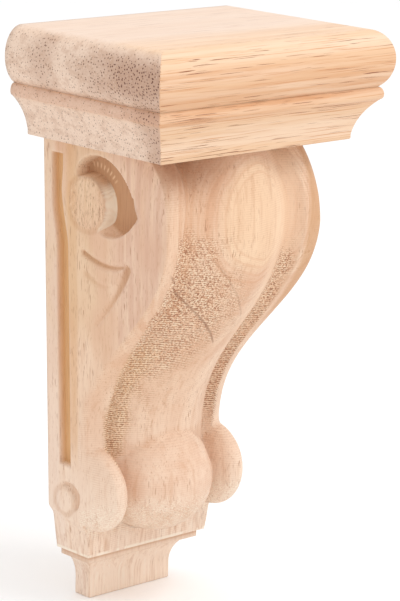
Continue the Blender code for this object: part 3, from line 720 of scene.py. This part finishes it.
cap_offsets, cap_heights = cap_profile().T
solid_low, solid_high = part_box("corbel_cap")
cap_offsets = np.minimum(cap_offsets, min(solid_high.x - CAP_HALF_WIDTH, -solid_low.y - CAP_DEPTH))
print(len(cap_offsets), "profile points, reaching out", (cap_offsets.max() / MM).round(2), "mm")

# %% Cap surface
CAP_EDGE_RADIUS, CAP_SIDE_COLUMNS, CAP_FRONT_COLUMNS = 0.0005, 28, 41
CAP_BACK_COLUMNS, CAP_BACK_CORNER, CAP_BACK_REACH = 12, 0.996, 0.9


def cap_rings():
    """A rectangle a level, wider by the offset, with small round corners and the back at the wall."""
    half = CAP_HALF_WIDTH + cap_offsets[:, None]
    front = CAP_DEPTH + cap_offsets[:, None]
    depth = (front - CAP_EDGE_RADIUS) * np.linspace(0.0, 1.0, CAP_SIDE_COLUMNS)
    x = (half - CAP_EDGE_RADIUS) * np.linspace(-1.0, 1.0, CAP_FRONT_COLUMNS)
    left = np.stack([-half + 0.0 * depth, depth], axis=-1)
    face = np.stack([x, front + 0.0 * x], axis=-1)
    between = np.linspace(CAP_BACK_REACH, -CAP_BACK_REACH, CAP_BACK_COLUMNS - 2)
    back_share = np.hstack([CAP_BACK_CORNER, between, -CAP_BACK_CORNER])
    return whole_ring(left, face, np.hstack([-half, front]), half, back_share)


cap_ring = cap_rings()
slope = np.gradient(cap_offsets) / np.hypot(np.gradient(cap_offsets), np.gradient(cap_heights))
upright = np.sqrt(1.0 - slope ** 2)[:, None]
on_end = np.zeros(cap_ring.shape[1])
on_end[:CAP_SIDE_COLUMNS + 1] = 1.0
far_end = len(on_end) - CAP_BACK_COLUMNS
on_end[far_end - CAP_SIDE_COLUMNS - 1:far_end] = 1.0
cap_marks = {"end_grain": upright * on_end}
cap_points = stack_levels(BODY_HEIGHT + JOINT_GAP + cap_heights, cap_ring)
corbel_cap = ring_surface("cap_block", cap_points, CAP_BACK_COLUMNS, cap_marks)

# %% [markdown]
# ## Maths on shader values
#
# Wood is drawn by node patterns, which have no seams and work at any size. The small class
# below wraps a socket, so that a pattern reads like a sum: `1 - mask` adds the Math node.
# All patterns are laid out in millimetres, as x, depth from the wall and height over the
# foot's underside, along the real axes of the grain.

# %% Shader values
class Value:
    """An output socket of a wood. A sum with numbers or other values adds a Math node."""

    def __init__(self, wood, socket):
        self.wood = wood
        self.socket = socket

    def math(self, operation, *others):
        """One Math node on this value and the others, in that order."""
        inputs = dict(enumerate((self, *others)))
        return self.wood.node('ShaderNodeMath', {"operation": operation}, inputs)

    def __add__(self, other):
        return self.math('ADD', other)

    def __mul__(self, other):
        return self.math('MULTIPLY', other)

    def __sub__(self, other):
        return self.math('SUBTRACT', other)

    def __rsub__(self, other):
        return self * -1.0 + other

    __radd__, __rmul__ = __add__, __mul__

    def step(self, low, high):
        """A soft step from 0 at low to 1 at high, also with low above high."""
        return self.wood.node('ShaderNodeMapRange', {"interpolation_type": 'SMOOTHSTEP'},
                              {"Value": self, "From Min": low, "From Max": high})

    def between(self, low, high, soft):
        """1 between low and high: a step up times a step down, each over soft to both sides."""
        return self.step(low - soft, low + soft) * self.step(high + soft, high - soft)


# %% Wood
PER_METRE = 1000.0
WOOD_SPECULAR, BUMP_STRENGTH = 0.35, 0.4


class Wood:
    """A wood material: its node tree, its places in millimetres and its kinds of pattern."""

    def __init__(self, name):
        self.material = bpy.data.materials.new(name)
        self.material.use_nodes = True
        self.tree = self.material.node_tree
        self.shader = self.tree.nodes["Principled BSDF"]
        self.shader.inputs["Specular IOR Level"].default_value = WOOD_SPECULAR
        place = self.node('ShaderNodeTexCoord', {}, {}, "Object")
        spread = self.node('ShaderNodeVectorMath', {"operation": 'MULTIPLY'},
                           {0: place, 1: (PER_METRE, -PER_METRE, PER_METRE)})
        self.x, self.depth, height = (
            self.node('ShaderNodeSeparateXYZ', {}, {0: spread}, i) for i in range(3)
        )
        self.height = height + MOUNT_HEIGHT * PER_METRE
        self.colour = None

    def node(self, kind, settings, inputs, output=0):
        """Any node: settings first, then values or links by socket name or number."""
        made = self.tree.nodes.new(kind)
        for name, value in settings.items():
            setattr(made, name, value)
        for name, value in inputs.items():
            self.feed(made.inputs[name], value)
        return Value(self, made.outputs[output])

    def feed(self, socket, value):
        """Links a Value to the socket, or sets the socket to a plain number, colour or vector."""
        if isinstance(value, Value):
            self.tree.links.new(value.socket, socket)
        else:
            socket.default_value = value

    def point(self, x, y, z):
        """A vector of three values."""
        return self.node('ShaderNodeCombineXYZ', {}, {0: x, 1: y, 2: z})

    def mark(self, name):
        """A named value of the mesh, as the surfaces above stored it."""
        return self.node('ShaderNodeAttribute', {"attribute_name": name}, {}, "Fac")

    def noise(self, size, shift=0.0, detail=2.0, roughness=0.5, point=None):
        """Noise with cells of size millimetres along x, depth and height."""
        scale = tuple(1.0 / length for length in size)
        base = self.point(self.x, self.depth, self.height) if point is None else point
        place = self.node('ShaderNodeVectorMath', {"operation": 'MULTIPLY_ADD'},
                          {0: base, 1: scale, 2: (shift, shift, shift)})
        return self.node('ShaderNodeTexNoise', {}, {
            "Vector": place, "Scale": 1.0, "Detail": detail, "Roughness": roughness}, "Fac")

    def cells(self, point, output="Distance"):
        """Distance to the nearest of a scatter of points, one to a unit square."""
        return self.node('ShaderNodeTexVoronoi', {"voronoi_dimensions": '2D'},
                         {"Vector": point, "Scale": 1.0, "Randomness": 1.0}, output)

    def blend(self, first, second, share):
        """A Mix node from the first colour to the second."""
        return self.node('ShaderNodeMix', {"data_type": 'RGBA'}, {0: share, 6: first, 7: second}, 2)

    def paint(self, second, share):
        """Lays one more colour over what the wood has so far, where share is above 0."""
        self.colour = self.blend(self.colour, second, share)

    def finish(self, roughness, relief, reach):
        """Feeds the shader: colour, roughness, and a bump of relief with that reach in metres."""
        bump = self.node('ShaderNodeBump', {}, {
            "Strength": BUMP_STRENGTH, "Distance": reach, "Height": relief})
        for name, value in (("Base Color", self.colour), ("Roughness", roughness), ("Normal", bump)):
            self.feed(self.shader.inputs[name], value)
        print(self.material.name, "has", len(self.tree.nodes), "nodes")
        return self.material


# %% Tones
TONE_SHARE = 0.88


def tone(red, green, blue):
    """The base colour that shows as this picture colour, from 0 to 255, in the studio's light."""
    shown = np.array([red, green, blue]) / 255.0
    linear = np.where(shown > 0.04045, ((shown + 0.055) / 1.055) ** 2.4, shown / 12.92)
    return (*(float(value) * TONE_SHARE for value in linear), 1.0)


print("a pale wood tone:", np.round(tone(245, 212, 183), 3))

# %% [markdown]
# ## Body wood: growth rings and streaks
#
# The body's grain runs up and down. Where the round front cuts the growth rings it shows
# them as nested ovals. They could come from tilted planes in the wood, but their centre and
# shape are easier to place as a distance from one point of the front, which a slow noise
# bends. Fine upright streaks lie over them, since noise cells can be long and thin.

# %% Marks and patterns of the body
body = Wood("body_wood")
front, torn, crest, sunk_shade, facing = (
    body.mark(name) for name in ("front", "torn", "crest", "sunk_shade", "facing")
)
off_back = facing.step(-0.9, -0.6)
hollow = body.mark("hollow") * off_back
side = (1 - front) * off_back
wander = body.noise((11.0, 11.0, 26.0), 3.0) - 0.5
mottle = body.noise((12.0, 12.0, 24.0), 9.0)
patchy = body.noise((5.0, 5.0, 8.0), 6.0, 3.0, 0.6)
streaks = body.noise((2.4, 2.4, 45.0), 4.0, 3.0, 0.55)
fine_streaks = body.noise((0.45, 0.45, 14.0), 0.0, 3.0, 0.6)
print("nodes for marks and patterns:", len(body.tree.nodes))

# %% Rings and streaks
OVAL_X, OVAL_HEIGHT, OVAL_HALF_WIDTH, OVAL_HALF_HEIGHT = 4.5, 143.5, 17.0, 18.5
RING_LINES = 42.0

across = (body.x - OVAL_X) * (1 / OVAL_HALF_WIDTH)
upward = (body.height - OVAL_HEIGHT) * (1 / OVAL_HALF_HEIGHT)
ring = (across * across + upward * upward).math('SQRT') + wander * 0.22
bands = body.noise((0.1, 30.0, 90.0), 7.0, 2.0, 0.6, body.point(ring, body.x, body.height))
ringed = body.height.step(92.0, 112.0) * front
light_oval = ring.step(1.14, 0.86) * ringed
ring_lines = (ring * RING_LINES + wander * 5.0).math('SINE').step(0.1, 0.95)
outer_rings = ringed * (1 - light_oval)

body.colour = body.blend(tone(232, 190, 158), tone(245, 212, 183), mottle.step(0.32, 0.68))
body.paint(tone(250, 226, 205), body.height.step(96.0, 28.0) * 0.8)
body.paint(tone(249, 214, 176), light_oval * 0.6)
body.paint(tone(224, 168, 128), ring.between(1.10, 1.34, 0.12) * ringed * 0.3)
body.paint(tone(218, 162, 124), ring_lines * ring.between(0.72, 1.8, 0.12) * ringed * 0.28)
body.paint(tone(216, 160, 120), bands.step(0.5, 0.66) * outer_rings * 0.3)
body.paint(tone(252, 226, 196), bands.step(0.45, 0.33) * outer_rings * 0.4)
body.paint(tone(216, 166, 128), streaks.step(0.5, 0.72) * 0.4)
body.paint(tone(198, 150, 116), fine_streaks.step(0.53, 0.74) * (0.35 - light_oval * 0.15))
print("nodes with rings and streaks:", len(body.tree.nodes))

# %% [markdown]
# ## Body wood: sides, pores and hollows
#
# The sides differ a little from place to place: paler along the back, tanner beside the
# channel and round the scroll, pinker towards the front. Short dark strokes are pores that
# are cut lengthwise. The routed hollows are tanner, partly their own unsanded tone and partly
# painted shade, and the marks that the grid stored say where they lie. Concave places and the
# front under the cap get painted shade, and crests get a painted highlight.

# %% Sides
back_strip = body.depth.step(7.0, 5.0) * side
beside_channel = body.depth.between(11.8, 16.5, 1.4) * side * body.height.step(48.0, 64.0)
carved_zone = body.depth.step(36.0, 28.0) * body.height.step(92.0, 108.0) * side
pinkish = body.depth.step(32.0, 42.0) * body.height.step(84.0, 100.0) * side

body.paint(tone(246, 222, 204), back_strip * 0.5)
body.paint(tone(222, 170, 118), beside_channel * 0.5)
body.paint(tone(228, 190, 146), carved_zone * mottle.step(0.3, 0.6) * 0.4)
body.paint(tone(216, 170, 148), pinkish * (0.1 + streaks.step(0.35, 0.6) * 0.38))
print("nodes with sides:", len(body.tree.nodes))

# %% Pores, shaded places and hollows
pores = body.noise((0.55, 0.55, 5.0), 2.0, 1.0, 0.5).step(0.64, 0.71) * mottle.step(0.42, 0.58)
ticks = body.noise((0.5, 0.5, 2.6), 12.0, 1.0, 0.5).step(0.6, 0.72)
# Painted shade: the front's upper left, under the cap's overhang, is darkened.
under_cap_shade = front * body.height.step(146.0, 162.0) * body.x.step(0.0, -22.0)
outer_rim = front * body.x.step(28.0, 30.5) * body.height.step(88.0, 112.0)
in_channel = body.depth.step(13.4, 12.4) * body.height.step(46.0, 50.0)
hollow_tone_and_shade = body.blend(tone(198, 146, 104), tone(233, 185, 130), in_channel)
hollow_streaks = hollow * fine_streaks.step(0.45, 0.7) * (0.45 - in_channel * 0.2)

body.paint(tone(172, 120, 88), pores * 0.6)
body.paint(tone(196, 146, 110), ticks * 0.35)
# painted shade in concave places of the front
body.paint(tone(220, 158, 110), sunk_shade * 0.24)
# painted shade under the cap
body.paint(tone(172, 112, 76), under_cap_shade * 0.65)
body.paint(tone(210, 158, 112), outer_rim * 0.7)
# Hollows: partly their own tanner tone, partly painted shade.
body.paint(hollow_tone_and_shade, hollow * 0.92)
body.paint(tone(172, 118, 82), hollow_streaks)
# painted highlight on crests
body.paint(tone(248, 222, 198), crest * 0.12)
print("nodes with pores and hollows:", len(body.tree.nodes))

# %% [markdown]
# ## Body wood: torn grain and tool marks
#
# Torn grain is a field of dark pits and pale fibre ends, which a noise with cells of half a
# millimetre gives, and the cutter's level lines comb it into rows low down. A mesh this fine
# would need millions of faces, so it is colour and bump. Two dark slanting lines are read as
# growth rings that the front's slope cuts steeply.

# %% Torn grain and cutter lines
LINE_PITCH = 0.75

speckle = body.noise((0.62, 0.62, 0.42), 5.0, 1.0, 0.5)
lines = (body.height * (2.0 * math.pi / LINE_PITCH) + (mottle - 0.5) * 9.0).math('SINE')
low_part = body.height.step(113.0, 101.0)
combed = lines * (0.03 + patchy * 0.06 + low_part * 0.06)
rip = speckle * (1 - low_part * 0.25) + low_part * 0.125 + combed
torn_here = (torn * 1.5 + patchy * 1.8 - 1.5).step(-0.1, 1.1)
golden = body.x.step(-13.0, -20.0) * body.height.step(104.0, 92.0)
right_part = front * body.x.between(13.0, 26.0, 3.0) * body.height.step(84.0, 104.0)
scratched = front * (0.07 + patchy.step(0.42, 0.6) * 0.15)

body.paint(tone(255, 222, 190), right_part * 0.5)
body.paint(tone(226, 172, 134), torn_here * 0.4)
body.paint(tone(230, 182, 118), torn_here * golden * 0.3)
body.paint(tone(142, 84, 54), torn_here * rip.step(0.50, 0.63) * 0.85)
body.paint(tone(255, 238, 208), torn_here * rip.step(0.47, 0.36) * 0.8)
body.paint(tone(196, 146, 112), scratched * lines.step(0.2, 0.9))
print("nodes with torn grain:", len(body.tree.nodes))

# %% Ball, foot and slanting lines
ball_zone = front * body.x.between(-20.0, 20.0, 4.0) * body.height.between(30.0, 60.0, 6.0)
foot_front_light = facing.step(0.6, 0.95) * body.height.step(19.0, 15.0)
fuzz = front * body.height.between(27.0, 41.0, 4.0) * speckle.step(0.48, 0.6)
dark_line = (body.height + body.x * 0.9 + wander * 2.0).between(98.8, 99.7, 0.4)
dark_line = dark_line * body.x.between(-30.5, 2.5, 1.5)
faint_line = (body.height + body.x * 1.045 + wander * 2.0).between(115.6, 116.5, 0.5) * 0.45
faint_line = faint_line * body.x.between(-13.0, 10.0, 3.0)
low_streaks = body.noise((1.5, 1.5, 22.0), 16.0, 3.0, 0.65)
low_zone = body.height.step(34.0, 27.0) * (1 - hollow) * off_back

body.paint(tone(222, 174, 142), ball_zone * (0.15 + patchy.step(0.3, 0.7) * 0.3))
# Painted light: the foot's faces that look to the front are paler.
body.paint(tone(255, 230, 208), foot_front_light * 0.7)
body.paint(tone(255, 240, 218), fuzz * 0.6)
body.paint(tone(142, 94, 66), dark_line.math('MAXIMUM', faint_line) * front * (0.2 + patchy * 0.7))
body.paint(tone(206, 156, 120), low_zone * low_streaks.step(0.5, 0.68) * 0.36)
body.paint(tone(255, 240, 222), low_zone * low_streaks.step(0.46, 0.3) * 0.45)
print("nodes with ball, foot and lines:", len(body.tree.nodes))

# %% [markdown]
# ## Body wood: eye, lower edge and surface
#
# The flat face of the large eye is rough, its lower wall is paled with painted light, and the cutter has
# left
# ticks in the roof of the scoop: a sine of the angle round the eye gives them an even beat.
# The block's lower edge has a patchy painted highlight over a line of painted shade under it. Last, the same
# patterns that coloured the wood raise and roughen it, so colour and relief agree.

# %% Eye and lower edge
EYE_DEPTH_MM, EYE_HEIGHT_MM = EYE_DEPTH / MM, EYE_HEIGHT / MM
CHATTER_BEAT = 46.0

off_eye = body.point(0.0, body.depth - EYE_DEPTH_MM, body.height - EYE_HEIGHT_MM)
reach = body.node('ShaderNodeVectorMath', {"operation": 'LENGTH'}, {0: off_eye}, "Value")
turn = (body.height - EYE_HEIGHT_MM).math('ARCTAN2', body.depth - EYE_DEPTH_MM)
eye_face = reach.step(9.5, 8.9) * side
eye_grain = body.noise((0.8, 0.8, 2.4), 11.0, 3.0, 0.75)
eye_wall_light = reach.between(9.5, 10.5, 0.25) * turn.between(-0.85, 0.75, 0.25) * side
block_edge_highlight = body.height.between(18.9, 19.9, 0.35) * off_back
under_edge_shade = body.height.between(17.4, 18.8, 0.3) * off_back
chatter = (turn * CHATTER_BEAT).math('SINE').step(0.1, 0.7) * turn.between(0.7, 1.7, 0.15)
chatter = chatter * reach.between(12.2, 13.8, 0.5) * side

body.paint(tone(150, 104, 72), eye_face * eye_grain.step(0.52, 0.68) * patchy.step(0.34, 0.5) * 0.65)
body.paint(tone(246, 216, 180), eye_face * eye_grain.step(0.46, 0.32) * 0.45)
# painted light on the eye's wall that faces the lamp
body.paint(tone(255, 235, 209), eye_wall_light * 0.95)
# painted highlight along the block's lower edge
body.paint(tone(255, 240, 220), block_edge_highlight * patchy.step(0.36, 0.5) * 0.85)
# painted shade under the block's edge
body.paint(tone(204, 148, 108), under_edge_shade * 0.4)
body.paint(tone(244, 208, 170), chatter * 0.7)
print("nodes with eye and edge:", len(body.tree.nodes))

# %% Surface of the body
BODY_BUMP_REACH = 0.0002

scored = front * (0.25 + torn * 0.75)
relief = fine_streaks * 0.3 - pores * 0.4 + lines * 0.5 * scored + speckle * torn_here * 1.8
roughness = 0.56 + hollow * 0.2 + torn * 0.15 + (fine_streaks - 0.5) * 0.2
body_material = body.finish(roughness, relief, BODY_BUMP_REACH)

# %% [markdown]
# ## Cap wood
#
# The cap's grain runs along the wall. Its front and top show long grain with dark vessel
# lines, and both ends show end grain: greyish pink, and peppered with the same vessels cut
# across. A mark on the mesh says how much a place faces out of an end, so the change is
# crisp at the mitre and soft where the nose turns over onto the top.

# %% Long grain of the cap
cap = Wood("cap_wood")
end = cap.mark("end_grain").step(0.25, 0.85)
top = cap.height.step(200.0, 202.9)
warp = (cap.noise((60.0, 14.0, 10.0), 2.0) - 0.5) * 3.0
waved = cap.point(cap.x, cap.depth + warp, cap.height + warp * 0.6)
streaks = cap.noise((70.0, 2.4, 2.0), 3.0, 3.0, 0.55, waved)
fine_streaks = cap.noise((24.0, 0.6, 0.5), 5.0, 3.0, 0.6, waved)
vessels = cap.noise((22.0, 0.50, 0.30), 8.0, 1.0, 0.5, waved)
vessel_zone = cap.noise((30.0, 8.0, 5.0), 1.0).step(0.34, 0.52)
mottle = cap.noise((90.0, 7.0, 5.0), 6.0)
threads = cap.noise((42.0, 0.7, 0.42), 15.0, 2.0, 0.6, waved)
nose_front = cap.height.between(184.0, 197.0, 3.0) + cap.height.between(178.6, 183.6, 0.8)
dash = vessels.step(0.645, 0.685) * (0.2 + vessel_zone * 0.8) * (1 - top * 0.65)

cap.colour = cap.blend(tone(242, 202, 164), tone(248, 215, 184), mottle.step(0.35, 0.65))
cap.paint(tone(234, 182, 134), streaks.step(0.52, 0.74) * 0.5)
cap.paint(tone(218, 162, 118), fine_streaks.step(0.56, 0.76) * 0.4)
cap.paint(tone(222, 164, 118), nose_front * (0.26 + streaks.step(0.35, 0.65) * 0.4))
# Painted light and sheen: the flat top is paler and whiter, as light from above and its reflection show it.
cap.paint(tone(243, 222, 208), top * cap.depth.step(66.0, 40.0) * 0.6)
cap.paint(tone(206, 132, 78), threads.step(0.58, 0.67) * (1 - top * 0.7) * 0.6)
cap.paint(tone(148, 80, 42), dash * 0.9)
long_grain = cap.colour
print("nodes with long grain:", len(cap.tree.nodes))

# %% End grain of the cap
drift = (cap.noise((60.0, 12.0, 9.0), 14.0, 3.0, 0.6) - 0.5) * 26.0
front_band = (cap.depth + drift).between(44.0, 90.0, 14.0)
front_band = front_band * (cap.height + drift * 0.3).between(186.0, 200.0, 4.5)
back_band = (cap.depth + drift * 0.4).between(13.0, 24.0, 5.0) * cap.height.between(184.0, 204.0, 4.0)
corner_band = cap.depth.step(56.0, 66.0) * cap.height.step(201.0, 190.0)
grey_bands = front_band.math('MAXIMUM', back_band * 0.5).math('MAXIMUM', corner_band * 0.75)
grain = cap.noise((6.0, 0.5, 0.5), 2.0, 3.0, 0.6)
clouds = cap.noise((40.0, 5.0, 3.5), 18.0, 3.0, 0.6)
fillet = cap.height.between(179.5, 184.0, 0.8)

cap.colour = cap.blend(tone(243, 215, 193), tone(192, 152, 128), grey_bands * 0.9)
cap.paint(tone(206, 168, 142), clouds.step(0.46, 0.66) * 0.5)
cap.paint(tone(198, 158, 132), grain.step(0.48, 0.7) * 0.5)
cap.paint(tone(244, 222, 204), grain.step(0.46, 0.3) * 0.35)
cap.paint(tone(214, 160, 128), fillet * 0.45)
print("nodes with end grain:", len(cap.tree.nodes))

# %% Pores and surface of the cap
PORES_PER_MM, CAP_BUMP_REACH = 0.86, 0.00015

pore_grid = cap.point(cap.depth * PORES_PER_MM, cap.height * PORES_PER_MM, 0.0)
chosen = cap.cells(pore_grid, "Color")
luck, girth = (cap.node('ShaderNodeSeparateColor', {}, {0: chosen}, i) for i in range(2))
pore_radius = girth * 0.13 + grey_bands * 0.05 + 0.10
kept = (grey_bands * 0.45 + 0.4 - luck).step(-0.03, 0.03)
pore_dots = (pore_radius - cap.cells(pore_grid)).step(-0.04, 0.05) * kept
cap.paint(tone(104, 60, 40), pore_dots * (0.6 + grey_bands * 0.35))
cap.colour = cap.blend(long_grain, cap.colour, end)

relief = (fine_streaks * 0.4 - dash * 0.6) * (1 - end) + (grain * 0.5 - pore_dots * 0.8) * end
roughness = 0.5 + end * 0.12 + (fine_streaks - 0.5) * 0.16
cap_material = cap.finish(roughness, relief, CAP_BUMP_REACH)

# %% [markdown]
# ## Joining the part
#
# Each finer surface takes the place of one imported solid, rides on the same body, which is
# the root because nothing moves, and fills that solid's material slot.

# %% Bodies, slots and finishes
for piece, node, slot, material in (
    (corbel_body, "corbel_body", "body_wood", body_material),
    (corbel_cap, "corbel_cap", "cap_wood", cap_material),
):
    piece.data.materials.append(material)
    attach(piece, "root")
    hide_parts(node)
    print(piece.name, "stands for", node, "in slot", slot)

# %% [markdown]
# ## Floor, light and camera
#
# The photo was taken against plain white with very soft light. A broad pale floor and an
# even white world give that, and one large soft lamp from above and in front shades the
# forms. The camera stands where the photo's was: its place, turn and lens were fitted to
# the straight edges of the cap, the block and the foot.

# %% Floor
FLOOR_HALF, FLOOR_TONE, FLOOR_ROUGHNESS = 3.0, 0.97, 0.9

floor_mesh = bpy.data.meshes.new("floor")
corners = FLOOR_HALF * np.array([[-1.0, -1.0], [1.0, -1.0], [1.0, 1.0], [-1.0, 1.0]])
floor_mesh.from_pydata(np.column_stack([corners, np.full(4, -MOUNT_HEIGHT)]), [], [[0, 1, 2, 3]])
floor = bpy.data.objects.new("floor", floor_mesh)
bpy.context.scene.collection.objects.link(floor)

floor_paint = bpy.data.materials.new("floor_paint")
floor_paint.use_nodes = True
floor_shader = floor_paint.node_tree.nodes["Principled BSDF"]
floor_shader.inputs["Base Color"].default_value = (FLOOR_TONE, FLOOR_TONE, FLOOR_TONE, 1.0)
floor_shader.inputs["Roughness"].default_value = FLOOR_ROUGHNESS
floor_mesh.materials.append(floor_paint)
print("floor", 2 * FLOOR_HALF, "m wide, at height", -MOUNT_HEIGHT)

# %% World and lamp
WORLD_STRENGTH = 1.0
KEY_PLACE, KEY_TARGET, KEY_SIZE, KEY_WATTS = (0.3, -0.8, 1.2), (0.0, -0.03, 0.0), 0.7, 6.5

world = bpy.data.worlds.new("studio")
world.use_nodes = True
background = world.node_tree.nodes["Background"]
background.inputs["Color"].default_value = (1.0, 1.0, 1.0, 1.0)
background.inputs["Strength"].default_value = WORLD_STRENGTH
bpy.context.scene.world = world
bpy.context.scene.view_settings.view_transform = 'Standard'

key_light = bpy.data.lights.new("key", 'AREA')
key_light.size = KEY_SIZE
key_light.energy = KEY_WATTS
key = bpy.data.objects.new("key", key_light)
bpy.context.scene.collection.objects.link(key)
key.location = KEY_PLACE
key.rotation_euler = (Vector(KEY_TARGET) - Vector(KEY_PLACE)).to_track_quat('-Z', 'Y').to_euler()
print("key lamp of", KEY_WATTS, "W,", KEY_SIZE, "m wide, at", KEY_PLACE)

# %% Camera
CAMERA_PLACE = Vector((-0.6041, -0.6970, 0.2230))
CAMERA_TURN = Vector((1.7230107, -0.6458170, 0.5465069))
FOCAL_PIXELS, CENTRE_PIXEL = 2725.77, (202.05, 301.15)
IMAGE_SIZE, SENSOR_WIDTH = (400, 601), 36.0

right, down, forward = Matrix.Rotation(CAMERA_TURN.length, 3, CAMERA_TURN.normalized())
camera_data = bpy.data.cameras.new("camera")
camera_data.sensor_width = SENSOR_WIDTH
camera_data.lens = FOCAL_PIXELS * SENSOR_WIDTH / max(IMAGE_SIZE)
camera_data.shift_x = (IMAGE_SIZE[0] / 2 - CENTRE_PIXEL[0]) / max(IMAGE_SIZE)
camera_data.shift_y = (CENTRE_PIXEL[1] - IMAGE_SIZE[1] / 2) / max(IMAGE_SIZE)
camera = bpy.data.objects.new("camera", camera_data)
bpy.context.scene.collection.objects.link(camera)
camera_axes = Matrix((right, -down, -forward)).transposed().to_4x4()
camera.matrix_world = Matrix.Translation(CAMERA_PLACE) @ camera_axes
bpy.context.scene.camera = camera
print("camera", tuple(round(value, 3) for value in camera.location), "lens", round(camera_data.lens, 1))
